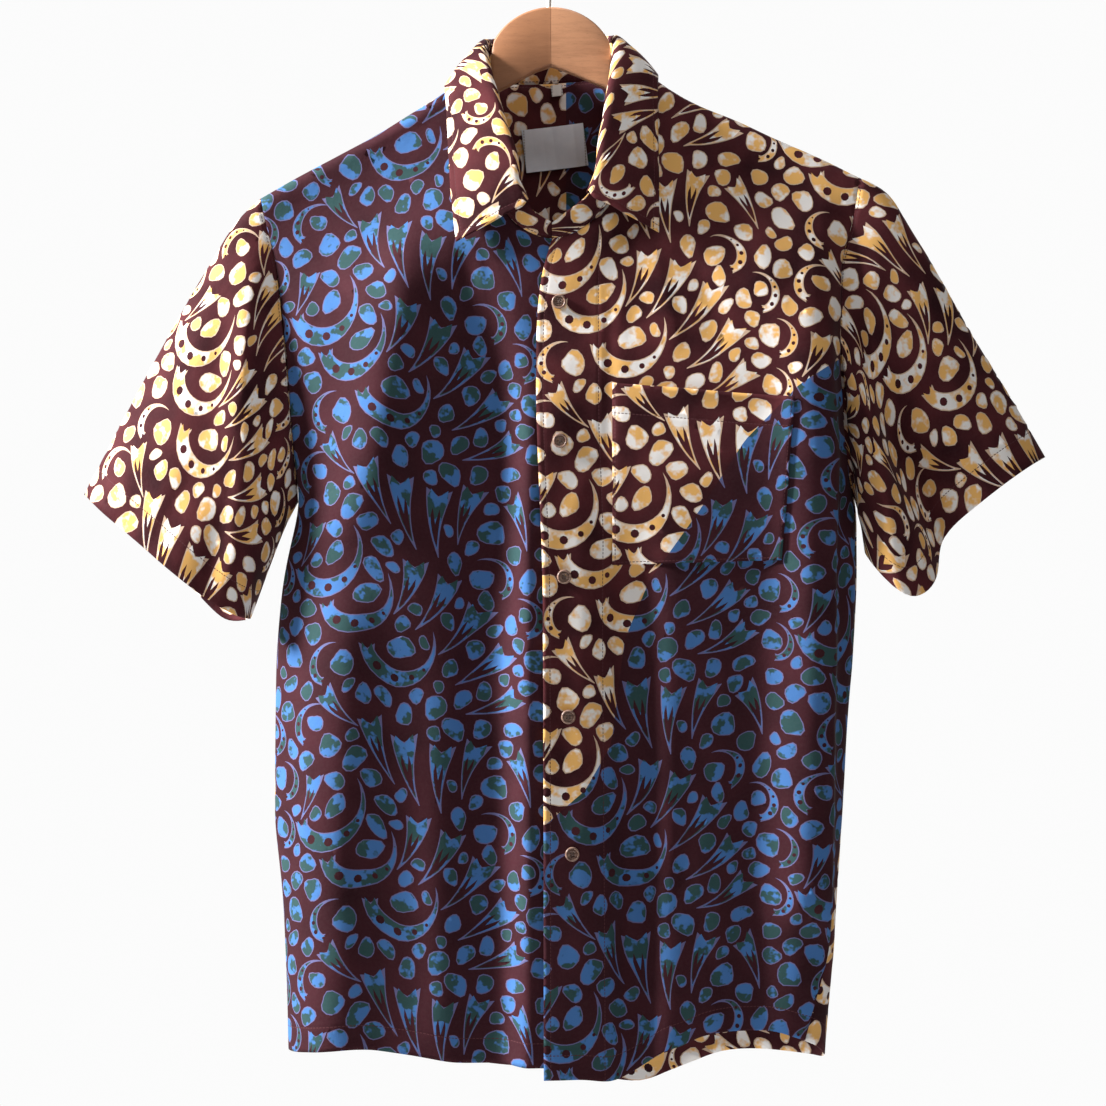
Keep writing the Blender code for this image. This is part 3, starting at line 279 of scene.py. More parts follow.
def blob(radius, corners, stretch=1.0, wobble=0.0, seed=0):
    """A rounded dot or pebble."""
    angle = np.linspace(0, math.tau, corners, endpoint=False)
    reach = radius * (1 + wobble * (np.sin(2 * angle + seed) + np.sin(3 * angle + 2.3 * seed)
                                    + 0.6 * np.sin(4 * angle + 4.1 * seed)))
    return np.stack([reach * np.cos(angle) * stretch, reach * np.sin(angle) / stretch], axis=1)


STAMP_LINES = [
    # kind, x, y, turn, then its length, width and curl, in millimetres, degrees and radians
    (horn, 34, 172, -108, 92, 0, 3.9), (horn, 55, 142, -110, 88, 0, 3.8),
    (horn, 84, 108, -112, 86, 0, 3.7), (horn, 163, 181, -6, 46, 0, 3.5),
    (horn, 188, 150, -16, 43, 0, 3.4), (horn, 203, 115, -26, 40, 0, 3.4),
    (horn, 22, 108, 190, 45, 0, -3.4), (horn, 8, 66, 176, 46, 0, -3.3),
    (horn, 200, 78, -30, 38, 0, 3.3),
    (blade, 93, 172, 66, 44, 19, 0.5), (blade, 115, 162, 54, 48, 20, 0.5),
    (blade, 136, 142, 44, 49, 20, 0.5), (blade, 151, 114, 32, 46, 19, 0.5),
    (blade, 159, 86, 20, 42, 18, 0.5), (blade, 36, 75, 134, 38, 16, -0.5),
    (blade, 66, 49, 114, 47, 19, -0.5), (blade, 88, 40, 104, 51, 20, -0.5),
    (blade, 112, 36, 90, 49, 20, -0.5), (blade, 136, 42, 74, 43, 18, -0.4),
    (blade, 176, 36, 108, 40, 17, 0.4), (blade, 17, 13, 66, 34, 16, 0.4)]
PEBBLE_GAP = 0.0022        # ground between a pebble and what is next to it
LEAST_PEBBLE, LARGE_PEBBLE = 0.0044, (0.0066, 0.0094)   # radius
PEBBLE_TRIES = 6000


def enclosed(points, shape):
    """Which points lie within an outline."""
    x, y = points[:, :1], points[:, 1:]
    (x0, y0), (x1, y1) = shape.T, np.roll(shape, -1, axis=0).T
    passed = ((y0 > y) != (y1 > y)) & (x < (x1 - x0) * (y - y0) / (y1 - y0 + 1e-12) + x0)
    return passed.sum(axis=1) % 2 == 1


def across_repeats(apart):
    """The same way apart, by the nearest repeat of the stamp."""
    strips = np.round(apart[..., :1] / STAMP[0])
    apart = apart - strips * (STAMP[0], STAMP[1] / 2)
    return apart - np.round(apart / STAMP) * (0, STAMP[1])


def spin(angle):
    """What points are multiplied by to turn them."""
    return np.array([[math.cos(angle), math.sin(angle)], [-math.sin(angle), math.cos(angle)]])


def stamp():
    """The motifs of one stamp: lines as listed, then pebbles where there is room for them."""
    motifs = []
    for kind, x, y, turn, length, width, curl in STAMP_LINES:
        sizes = (length / 1000, curl) if kind is horn else (length / 1000, width / 1000, curl)
        motifs.append([(part, shape @ spin(math.radians(turn)) + np.array([x, y]) / 1000)
                       for part, shape in kind(*sizes)])
    chance = np.random.default_rng(5)
    trial = chance.uniform((0, 0), STAMP, (PEBBLE_TRIES, 2))
    room = np.full(len(trial), 1.0)

    def keep_off(shape):
        apart = across_repeats(trial[:, None] - shape[None])
        room[:] = np.minimum(room, np.hypot(apart[..., 0], apart[..., 1]).min(axis=1))
        room[enclosed(shape[0] + across_repeats(trial - shape[0]), shape)] = 0

    for motif in motifs:
        shape = motif[0][1]
        keep_off(np.stack([shape, (shape + np.roll(shape, -1, axis=0)) / 2], axis=1).reshape(-1, 2))
    number = 0
    while room.max() > LEAST_PEBBLE + PEBBLE_GAP:
        number += 1
        best = int(np.argmax(room))
        size = min(room[best] - PEBBLE_GAP, chance.uniform(*LARGE_PEBBLE))
        stretch = chance.uniform(1.0, 1.25)
        turn = spin(chance.uniform(0, math.pi))
        motifs.append([(part, blob(reach, 14, stretch, wobble=0.075, seed=number) @ turn + trial[best])
                       for part, reach in ((EDGE, size), (FILL, size - EDGE_LINE))])
        keep_off(motifs[-1][0][1])
    return motifs


STAMP_MOTIFS = stamp()


def stamped(low, high):
    """The outlines that fall in a rectangle of cloth, each with what it encloses."""
    found = []
    for strip in range(math.floor(low[0] / STAMP[0]) - 1, math.ceil(high[0] / STAMP[0]) + 1):
        drop = STAMP[1] / 2 if strip % 2 else 0
        for row in range(math.floor(low[1] / STAMP[1]) - 2, math.ceil(high[1] / STAMP[1]) + 2):
            corner = np.array([strip * STAMP[0], row * STAMP[1] + drop])
            for motif in STAMP_MOTIFS:
                points = motif[0][1] + corner
                if np.all(points.max(axis=0) > low) and np.all(points.min(axis=0) < high):
                    found += [(part, shape + corner) for part, shape in motif]
    return found


def mixed(grid, places):
    """Values of a grid between its points, at rows and columns that need not be whole."""
    row = np.clip(places[:, 0].astype(int), 0, grid.shape[0] - 2)
    column = np.clip(places[:, 1].astype(int), 0, grid.shape[1] - 2)
    down, along = (places[:, 0] - row)[:, None], (places[:, 1] - column)[:, None]
    above = grid[row, column] * (1 - along) + grid[row, column + 1] * along
    below = grid[row + 1, column] * (1 - along) + grid[row + 1, column + 1] * along
    return above * (1 - down) + below * down


def find_places(flat, points):
    """Rows and columns of a flat grid at which the points lie."""
    tree = KDTree(flat[..., 0].size)
    for index, point in enumerate(flat.reshape(-1, 2)):
        tree.insert((*point, 0), index)
    tree.balance()
    nearest = np.array([tree.find((*point, 0))[1] for point in points])
    places = np.stack([nearest // flat.shape[1], nearest % flat.shape[1]], axis=1).astype(float)
    last = np.array(flat.shape[:2]) - 1.0
    for _ in range(6):
        miss = points - mixed(flat, places)
        inside = np.clip(places, 0, last - 1)
        down = mixed(flat, inside + (1, 0)) - mixed(flat, inside)
        along = mixed(flat, inside + (0, 1)) - mixed(flat, inside)
        area = down[:, 0] * along[:, 1] - down[:, 1] * along[:, 0]
        area = np.where(abs(area) < 1e-12, 1e-12, area)
        step = np.stack([miss[:, 0] * along[:, 1] - miss[:, 1] * along[:, 0],
                         down[:, 0] * miss[:, 1] - down[:, 1] * miss[:, 0]], axis=1)
        places = np.clip(places + np.clip(step / area[:, None], -2, 2), 0, last)
    return places


def printed_cloth(name, grid, flat, cut_from, every=2, **over_it):
    """A panel whose faces are cut along the print's outlines, and which lies on the grid.

    It is cut from a place on the printed cloth, and keeps one in every few of the grid's points.
    What else is known at them, such as the way to a seam, becomes an attribute.
    """
    cloth = flat + cut_from
    rows, columns = grid.shape[:2]
    down = np.unique(np.r_[np.arange(0, rows - 1, every), rows - 1])
    over = np.unique(np.r_[np.arange(0, columns - 1, every), columns - 1])
    edge = ([(0, c) for c in over[:-1]] + [(r, columns - 1) for r in down[:-1]]
            + [(rows - 1, c) for c in over[:0:-1]] + [(r, 0) for r in down[:0:-1]])
    middle = [(r, c) for r in down[1:-1] for c in over[1:-1]]
    known = np.array(edge + middle)
    points = [cloth[known[:, 0], known[:, 1]]]
    border = points[0][:len(edge)]
    beyond = np.roll(border, -1, axis=0)
    turned = np.sum(border[:, 0] * beyond[:, 1] - border[:, 1] * beyond[:, 0])
    faces, kinds = [list(range(len(edge)))[::1 if turned > 0 else -1]], [GROUND]
    count = len(known)
    low, high = cloth.min(axis=(0, 1)), cloth.max(axis=(0, 1))
    for part, shape in stamped(low, high):
        points.append(shape)
        faces.append(list(range(count, count + len(shape))))
        kinds.append(part)
        count += len(shape)
    points = np.concatenate(points) * 1000
    inside_only, near = 1, 1e-4
    verts, _, found, was, _, inside = geometry.delaunay_2d_cdt(
        [Vector(point) for point in points], [], faces, inside_only, near, True)
    verts = np.array(verts) / 1000
    kept, print_of = [], []
    for face, within in zip(found, inside):
        if 0 in within:
            kept.append(face)
            print_of.append(kinds[max(within)])
    places = np.zeros((len(verts), 2))
    fixed = np.array([min(old, default=len(known)) for old in was])
    exact = fixed < len(known)
    places[exact] = known[fixed[exact]]
    used = np.zeros(len(verts), bool)
    used[np.array([corner for face in kept for corner in face])] = True
    loose = ~exact & used
    places[loose] = find_places(cloth, verts[loose])
    renumber = np.cumsum(used) - 1
    mesh = bpy.data.meshes.new(name)
    mesh.from_pydata(mixed(grid, places[used]).tolist(), [],
                     [[int(renumber[corner]) for corner in face] for face in kept])
    across_cloth = verts[used]
    corners = np.empty(len(mesh.loops), int)
    mesh.loops.foreach_get("vertex_index", corners)
    layer = mesh.uv_layers.new(name="cloth")
    layer.data.foreach_set("uv", across_cloth[corners].ravel())
    marks = mesh.attributes.new("print", "FLOAT", "FACE")
    marks.data.foreach_set("value", np.array(print_of, float))
    for label, values in over_it.items():
        layer = mesh.attributes.new(label, "FLOAT", "POINT")
        layer.data.foreach_set("value", mixed(values[..., None], places[used])[:, 0])
    mesh.shade_smooth()
    piece = bpy.data.objects.new(name, mesh)
    bpy.context.collection.objects.link(piece)
    wall = piece.modifiers.new("wall", "SOLIDIFY")
    wall.thickness, wall.offset = CLOTH, -1
    return piece


NO_ROW = ("top", -1.0)     # a row of stitches that lies off the panel


def stitched(grid, level=(), upright=()):
    """Signed ways from the rows of stitches, each a side of the panel and a way in from it."""
    across = np.pad(np.cumsum(np.linalg.norm(np.diff(grid, axis=1), axis=2), axis=1), ((0, 0), (1, 0)))
    down = np.pad(np.cumsum(np.linalg.norm(np.diff(grid, axis=0), axis=2), axis=0), ((1, 0), (0, 0)))
    ways = dict(left=across, right=across[:, -1:] - across, top=down, foot=down[-1:] - down)
    lines = {}
    for kind, rows in (("level", level), ("upright", upright)):
        for number in (0, 1):
            side, way_in = rows[number] if number < len(rows) else NO_ROW
            lines[f"{kind}_{number + 1}"] = ways[side] - way_in
    return lines


# ---------------------------------------------------------------- the dyed cotton
# Plain-woven cotton: a maroon brown ground, motifs dyed a mottled cream and gold or a blue
# and green, each inside a pale line where the wax kept the dye off, and stitched seams.
def sign(operation):
    """What one of Python's signs does between sockets: it adds a Math node."""
    return lambda *values: values[0].paint.node("Math", dict(operation=operation), *values)


class Maths:
    """A socket whose sums and products add their own Math nodes."""

    __add__, __sub__, __mul__ = sign("ADD"), sign("SUBTRACT"), sign("MULTIPLY")
    __lt__, __gt__ = sign("LESS_THAN"), sign("GREATER_THAN")
    __abs__, __mod__ = sign("ABSOLUTE"), sign("FLOORED_MODULO")

    def __init__(self, paint, socket):
        self.paint, self.socket = paint, socket


class Paint:
    """One material under a maker's hands: its nodes, and the shader they end in."""

    def __init__(self, name, **same_all_over):
        self.material = bpy.data.materials.new(name)
        self.material.use_nodes = True
        self.tree = self.material.node_tree
        self.shader = self.tree.nodes["Principled BSDF"]
        for socket, value in same_all_over.items():
            self.shader.inputs[socket.replace("_", " ").title().replace("Ior", "IOR")].default_value = value

    def node(self, kind, settings, *values, out=0, **named):
        """Any node: settings first, then values or links for its sockets, by place or name."""
        node = self.tree.nodes.new("ShaderNode" + kind)
        for label, value in settings.items():
            setattr(node, label, value)
        for key, value in [*enumerate(values), *named.items()]:
            socket = node.inputs[key.replace("_", " ") if isinstance(key, str) else key]
            if isinstance(value, Maths):
                self.tree.links.new(value.socket, socket)
            else:
                socket.default_value = value
        return Maths(self, node.outputs[out])

    def mix(self, share, one, other):
        """A colour between two colours."""
        node = self.tree.nodes.new("ShaderNodeMix")
        node.data_type = "RGBA"
        self.tree.links.new(share.socket, node.inputs[0])
        for socket, value in ((node.inputs[6], one), (node.inputs[7], other)):
            if isinstance(value, Maths):
                self.tree.links.new(value.socket, socket)
            else:
                socket.default_value = (*value, 1)
        return Maths(self, node.outputs[2])

    def value(self, name):
        """What an attribute of the piece says at a place."""
        return self.node("Attribute", dict(attribute_name=name), out=2)

    def noise(self, place, scale, detail=3.0, roughness=0.55):
        """Uneven values from nought to one, in grains of 1 / scale metres."""
        return self.node("TexNoise", {}, Vector=place, Scale=scale, Detail=detail, Roughness=roughness)

    def finish(self, **sockets):
        """The material, with these values in its shader's sockets."""
        for label, value in sockets.items():
            self.tree.links.new(value.socket, self.shader.inputs[label.replace("_", " ")])
        return self.material


STITCH, STITCH_SHARE = 0.0027, 0.68   # from stitch to stitch, and how much of it is thread
STITCH_WIDTH = 0.0006
SEAM_PULL = 0.0022         # how far the cloth is drawn in beside a row of stitches


def batik_cotton():
    """The printed cloth, in both of its colourways."""
    paint = Paint("batik_cotton", roughness=0.78, specular_ior_level=0.07, sheen_weight=0.02,
                  sheen_roughness=0.5)
    cloth = paint.node("UVMap", dict(uv_map="cloth"))
    mottle = paint.noise(cloth, 62.0, 3.0)
    cloud = paint.noise(cloth, 21.0, 2.0)
    fleck = paint.noise(cloth, 420.0, 2.0)
    ground = paint.mix(paint.node("MapRange", {}, cloud, 0.3, 0.7), (0.024, 0.0044, 0.0066),
                       (0.088, 0.0180, 0.0215))
    gold = paint.node("MapRange", {}, mottle, 0.44, 0.53)
    cream = paint.mix(gold, (0.80, 0.76, 0.73), (0.76, 0.42, 0.13))
    green = paint.node("MapRange", {}, mottle, 0.475, 0.515)
    blue = paint.mix(green, (0.055, 0.155, 0.380), (0.026, 0.064, 0.065))
    side = paint.value("blue") > 0.0
    fill = paint.mix(side, cream, blue)
    ground = paint.mix(side, ground, paint.mix(cloud, (0.016, 0.0040, 0.0065), (0.064, 0.0150, 0.0215)))
    line = paint.mix(side, (0.60, 0.42, 0.30), (0.120, 0.115, 0.240))
    part = paint.value("print")
    printed = paint.mix(part > 0.5, ground, fill)
    printed = paint.mix(part > 1.5, printed, line)
    worn = paint.mix(paint.node("MapRange", {}, fleck, 0.35, 0.75, 0.0, 0.010), printed, (0.5, 0.40, 0.38))
    weave = paint.noise(paint.node("Mapping", {}, Vector=cloth, Scale=(1.0, 0.35, 1.0)), 2400.0, 1.0)
    pucker = paint.noise(cloth, 160.0, 2.0)
    across = paint.node("SeparateXYZ", {}, cloth)
    along = paint.node("SeparateXYZ", {}, cloth, out=1)
    thread, pull = 0.0, 0.0
    for name, run in (("level_1", across), ("level_2", across), ("upright_1", along), ("upright_2", along)):
        way = abs(paint.value(name))
        thread = (way < STITCH_WIDTH / 2) * (run % STITCH < STITCH * STITCH_SHARE) + thread
        pull = paint.node("MapRange", {}, way, 0.0, SEAM_PULL, 1.0, 0.0) + pull
    worn = paint.mix(thread, worn, (0.085, 0.030, 0.034))
    bump = paint.node("Bump", {}, Strength=0.35, Distance=0.0006,
                      Height=weave * 0.35 + pucker - pull * 0.8 + thread * 0.5)
    return paint.finish(Base_Color=worn, Normal=bump)


COTTON = batik_cotton()


def sewn(piece, node):
    """A finished panel: its cloth gets the cotton and is attached to the root, and the solid it stands for is
    hidden.
    """
    piece.data.materials.append(COTTON)
    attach(piece, "root")
    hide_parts(node)


# ---------------------------------------------------------------- the panel itself
ALL_BLUE, ALL_CREAM = 1.0, -1.0   # cloth is of the blue colourway where its value is over nought
grid = finer(rows_of("front_right", (-0.12, -1, -0.5), FROM_FRONT, NECK_RIGHT, SHOULDER_RIGHT), FINE)
flat = flat_cut(grid, straight=-1)
grid = creased(grid, RIGHT_FOLDS, small=26, seed=11)
piece = printed_cloth("right_front", grid, flat, (0.02, 0.01), blue=np.full(grid.shape[:2], ALL_BLUE),
                      **stitched(grid, level=[("foot", HEM)], upright=[("right", UNDER_EDGE)]))
sewn(piece, "front_right")

# ================================================================ the wearer's left front
# The upper panel, with its edge turned under and stitched down as a placket. Its cloth is cream
# and gold above a slanting line and dyed blue below. At its side the seam rides on a deep fold.
PLACKET_EDGE, PLACKET = 0.005, 0.046   # from the edge to the placket's two rows of stitches
NECK_LEFT, SHOULDER_LEFT = (0.0022, -0.044, -0.2368), (0.2325, 0, -0.1865)
LEFT_FOLDS = [
    # x and z at the top and foot, height, reach to the left and right, bow, in millimetres
    (50, -440, 60, -900, -5.5, 9, 26, 3), (22, -300, 30, -880, 1.0, 12, 9, 1),
    (210, -320, 199, -910, 12.0, 36, 6, 0), (152, -450, 152, -1150, -8.0, 72, 22, 0),
    (150, -560, 150, -880, -2.2, 16, 14, 4), (45, -260, 43, -430, -1.2, 5, 6, 0),
    (90, -225, 130, -330, -1.8, 12, 10, 5), (150, -215, 186, -330, 1.8, 16, 12, -6),
    (178, -480, 186, -700, -1.8, 10, 12, 3), (84, -700, 80, -890, 1.5, 10, 14, 2),
    (200, -180, 204, -480, 12.0, 80, 14, 0), (214, -250, 217, -560, -5.0, 8, 14, 0),
    (100, -560, 92, -760, -1.6, 5, 12, 3), (132, -700, 128, -900, 1.6, 14, 6, -3),
    (70, -230, 96, -330, 1.2, 10, 6, 3)]
grid = finer(rows_of("front_left", (0.12, -1, -0.6), FROM_FRONT, NECK_LEFT, SHOULDER_LEFT), FINE)
flat = flat_cut(grid)
side_seam = grid[:, -1]
grid = creased(grid, LEFT_FOLDS, small=26, seed=23)
seam_lift = grid[:, -1, 1] - side_seam[:, 1]
DYE_LINE = np.array([
    # x and z along it, from the side seam down to the placket
    (0.260, -0.300), (0.212, -0.327), (0.184, -0.345), (0.144, -0.386), (0.111, -0.437),
    (0.074, -0.489), (0.056, -0.533), (0.046, -0.610), (0.0265, -0.643), (-0.04, -0.700)])


def below_dye_line(grid):
    """How far a point lies below the line up to which the cloth was dipped in blue."""
    return np.interp(grid[..., 0], DYE_LINE[::-1, 0], DYE_LINE[::-1, 1]) - grid[..., 2]


piece = printed_cloth("left_front", grid, flat, (0.015, 0.06), blue=below_dye_line(grid),
                      **stitched(grid, level=[("foot", HEM)],
                                 upright=[("left", PLACKET_EDGE), ("left", PLACKET)]))
sewn(piece, "front_left")

# ================================================================ the pocket
# A square patch of the same cotton, hemmed at its top and stitched to the left chest round its
# other sides. Its dye line runs on from the panel's, and it falls in the panel's folds.
POCKET_HEM = 0.022
TOPSTITCH = 0.002          # from a seam or a folded edge to the stitches beside it
POCKET_TOP = (0.0462, -0.05, -0.3443), (0.178, -0.05, -0.3545)   # its upper corners
grid = finer(rows_of("pocket", (0.10, -1, -0.4), FROM_FRONT, *POCKET_TOP, wall=0.0013), FINE)
flat = flat_cut(grid)
grid = creased(grid, LEFT_FOLDS)
piece = printed_cloth("patch_pocket", grid, flat, (0.015, 0.055), blue=below_dye_line(grid),
                      **stitched(grid, level=[("foot", TOPSTITCH), ("top", POCKET_HEM)],
                                 upright=[("left", TOPSTITCH), ("right", TOPSTITCH)]))
sewn(piece, "pocket")

# ================================================================ the yoke and the back
# The yoke lies over both shoulders, topstitched to the fronts and to the back, and was dyed blue
# behind the left one. The back is one plain panel down to a turned hem, sewn to the fronts at
# its sides. All of it is the same cotton.
YOKE_DYE_X, YOKE_DYE_Y = 0.013, 0.005   # the blue corner lies beyond these
grid = finer(rows_of("yoke", (0.12, 1, -0.2), FROM_BEHIND, SHOULDER_RIGHT, SHOULDER_LEFT), FINE)
flat = flat_cut(grid, straight=grid.shape[1] // 2)
piece = printed_cloth("yoke_cloth", grid, flat, (0.08, 0.02), every=3,
                      blue=np.minimum(grid[..., 0] - YOKE_DYE_X, grid[..., 1] - YOKE_DYE_Y),
                      **stitched(grid, level=[("foot", TOPSTITCH), ("top", TOPSTITCH)]))
sewn(piece, "yoke")

CARRIED_WIDTH = 0.050      # of the back's cloth that follows the left front's last fold
BACK_TOP = (-0.2130, 0.0, -0.245), (0.2306, 0.0, -0.245)
grid = finer(rows_of("back", (0.0, 1, -0.6), FROM_BEHIND, *BACK_TOP), FINE)
flat = flat_cut(grid, straight=grid.shape[1] // 2)
carried = np.interp(-grid[:, -1, 2], -side_seam[:, 2], seam_lift)
near = np.clip(1 - (grid[:, -1:, 0] - grid[..., 0]) / CARRIED_WIDTH, 0, 1)
grid[..., 1] += carried[:, None] * near**2 * (3 - 2 * near)
piece = printed_cloth("back_cloth", grid, flat, (0.05, 0.09), every=4,
                      blue=np.full(grid.shape[:2], ALL_CREAM), **stitched(grid, level=[("foot", HEM)]))
sewn(piece, "back")

# ================================================================ the sleeves
# Two short set-in sleeves of the same cotton, each a tube with one seam under the arm, sewn
# into its armhole and hemmed at the cuff. The front of each falls in a few folds.
SLEEVE_HEM = 0.022
SLEEVE_FOLDS = [
    # x and z at the top and foot, height, reach to the left and right, bow, in millimetres
    (-206, -235, -268, -560, -4.0, 9, 16, 6), (-232, -240, -318, -470, 2.4, 14, 18, -4),
    (-216, -300, -228, -540, 2.0, 9, 7, 3), (-250, -380, -330, -520, -1.6, 8, 13, 4),
    (226, -235, 262, -590, -4.0, 15, 9, -6), (240, -240, 318, -470, 2.6, 22, 12, 5),
    (262, -330, 350, -500, -2.2, 8, 14, -4), (236, -400, 268, -600, 2.0, 12, 8, 3)]
for node, name, seed, underarm, front_side, cut_from in (
        ("sleeve_right", "right_sleeve", (-0.26, -1, -0.4), (-0.1885, 0, -0.4305), (-0.2, -0.03, -0.32),
         (0.0, 0.03)),
        ("sleeve_left", "left_sleeve", (0.30, -1, -0.35), (0.2300, 0, -0.4305), (0.22, -0.03, -0.32),
         (0.11, 0.03))):
    grid = finer(rows_of(node, seed, FROM_FRONT, underarm, front_side, ring=True), FINE)
    flat = flat_cut(grid, upright=False, straight=grid.shape[1] // 2)
    in_front = grid[..., 1:2] < 0.0
    grid = np.where(in_front, creased(grid, SLEEVE_FOLDS), grid)
    piece = printed_cloth(name, grid, flat, cut_from, every=3, blue=np.full(grid.shape[:2], ALL_CREAM),
                          **stitched(grid, level=[("foot", SLEEVE_HEM), ("top", TOPSTITCH)]))
    sewn(piece, node)

# ================================================================ the collar
# A turn-down collar of the same cotton, in two pieces. The stand is sewn round the neck, and the
# leaf is sewn to the top of the stand, turned down over it and stitched in from its edges.
LEAF_STITCH = 0.005
stand = rows_of("collar_stand", (0.0, -1, -0.23), FROM_FRONT, NECK_RIGHT, NECK_LEFT)
leaf_ends = sorted((stand[-1][2], stand[-1][-3]), key=lambda point: point[0])
leaf = rows_of("collar_leaf", (-0.06, -1, -0.2), FROM_FRONT, leaf_ends[1], leaf_ends[0], wall=0.0019)
for node, name, rows, stitches in (
        ("collar_stand", "collar_stand_cloth", stand, dict(level=[("top", TOPSTITCH)])),
        ("collar_leaf", "collar_leaf_cloth", leaf,
         dict(level=[("foot", LEAF_STITCH)], upright=[("left", LEAF_STITCH), ("right", LEAF_STITCH)]))):
    grid = finer(rows, FINE)
    flat = flat_cut(grid, upright=False, straight=grid.shape[1] // 2)
    piece = printed_cloth(name, grid, flat, (0.03, 0.12), blue=np.full(grid.shape[:2], ALL_CREAM),
                          **stitched(grid, **stitches))
    sewn(piece, node)

# ================================================================ the buttons
# Turned horn buttons of 10.7 mm with a raised rim and four holes, sewn on with crossed thread.
# Each lies in the place of its own disc in the frame, on the placket.
BUTTON = 0.00535           # radius
HALF_DISC = 0.0013         # from the middle of the frame's disc down to its underside
WEB_RADIUS, WEB, WEB_FOOT = BUTTON * 0.74, 0.0013, 0.0004   # the thin middle: reach, thickness, height
HOLE_PLACE, HOLE = 0.00105, 0.00060   # across and up from the centre, and radius
THREAD, THREAD_PLACE, FLATTENED = 0.00028, 0.0016, 0.42   # radius, height, and share of its round form
RIM = [(0.66, 0.20), (0.90, 0.00), (0.99, 0.50), (1.00, 1.20), (0.98, 1.90), (0.92, 2.45), (0.84, 2.60),
       (0.76, 2.45), (0.70, 1.90)]   # share of the radius, and height in millimetres


def mesh_piece(name, bm, *materials):
    """A finished piece from a bmesh."""
    mesh = bpy.data.meshes.new(name)
    bm.to_mesh(mesh)
    bm.free()
    mesh.shade_smooth()
    for material in materials:
        mesh.materials.append(material)
    piece = bpy.data.objects.new(name, mesh)
    bpy.context.collection.objects.link(piece)
    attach(piece, "root")
    return piece


def horn_finish():
    """Brown grey horn with soft streaks, a little worn in pale specks."""
    paint = Paint("horn", specular_ior_level=0.5)
    place = paint.node("TexCoord", {}, out=3)
    streak = paint.noise(paint.node("Mapping", {}, Vector=place, Scale=(1.0, 1.0, 4.0)), 180.0, 4.0)
    speck = paint.noise(place, 900.0, 2.0)
    colour = paint.mix(paint.node("MapRange", {}, streak, 0.35, 0.65), (0.125, 0.062, 0.046),
                       (0.310, 0.190, 0.140))
    return paint.finish(Base_Color=paint.mix(paint.node("MapRange", {}, speck, 0.5, 0.8, 0.0, 0.3), colour,
                                             (0.36, 0.28, 0.24)),
                        Roughness=speck * 0.2 + 0.28)


def thread_finish(name, light, dark):
    """Twisted sewing thread."""
    paint = Paint(name, roughness=0.75, sheen_weight=0.1)
    twist = paint.noise(paint.node("TexCoord", {}, out=3), 3200.0, 1.0)
    bump = paint.node("Bump", {}, Strength=0.4, Distance=0.0002, Height=twist)
    return paint.finish(Base_Color=paint.mix(twist, dark, light), Normal=bump)


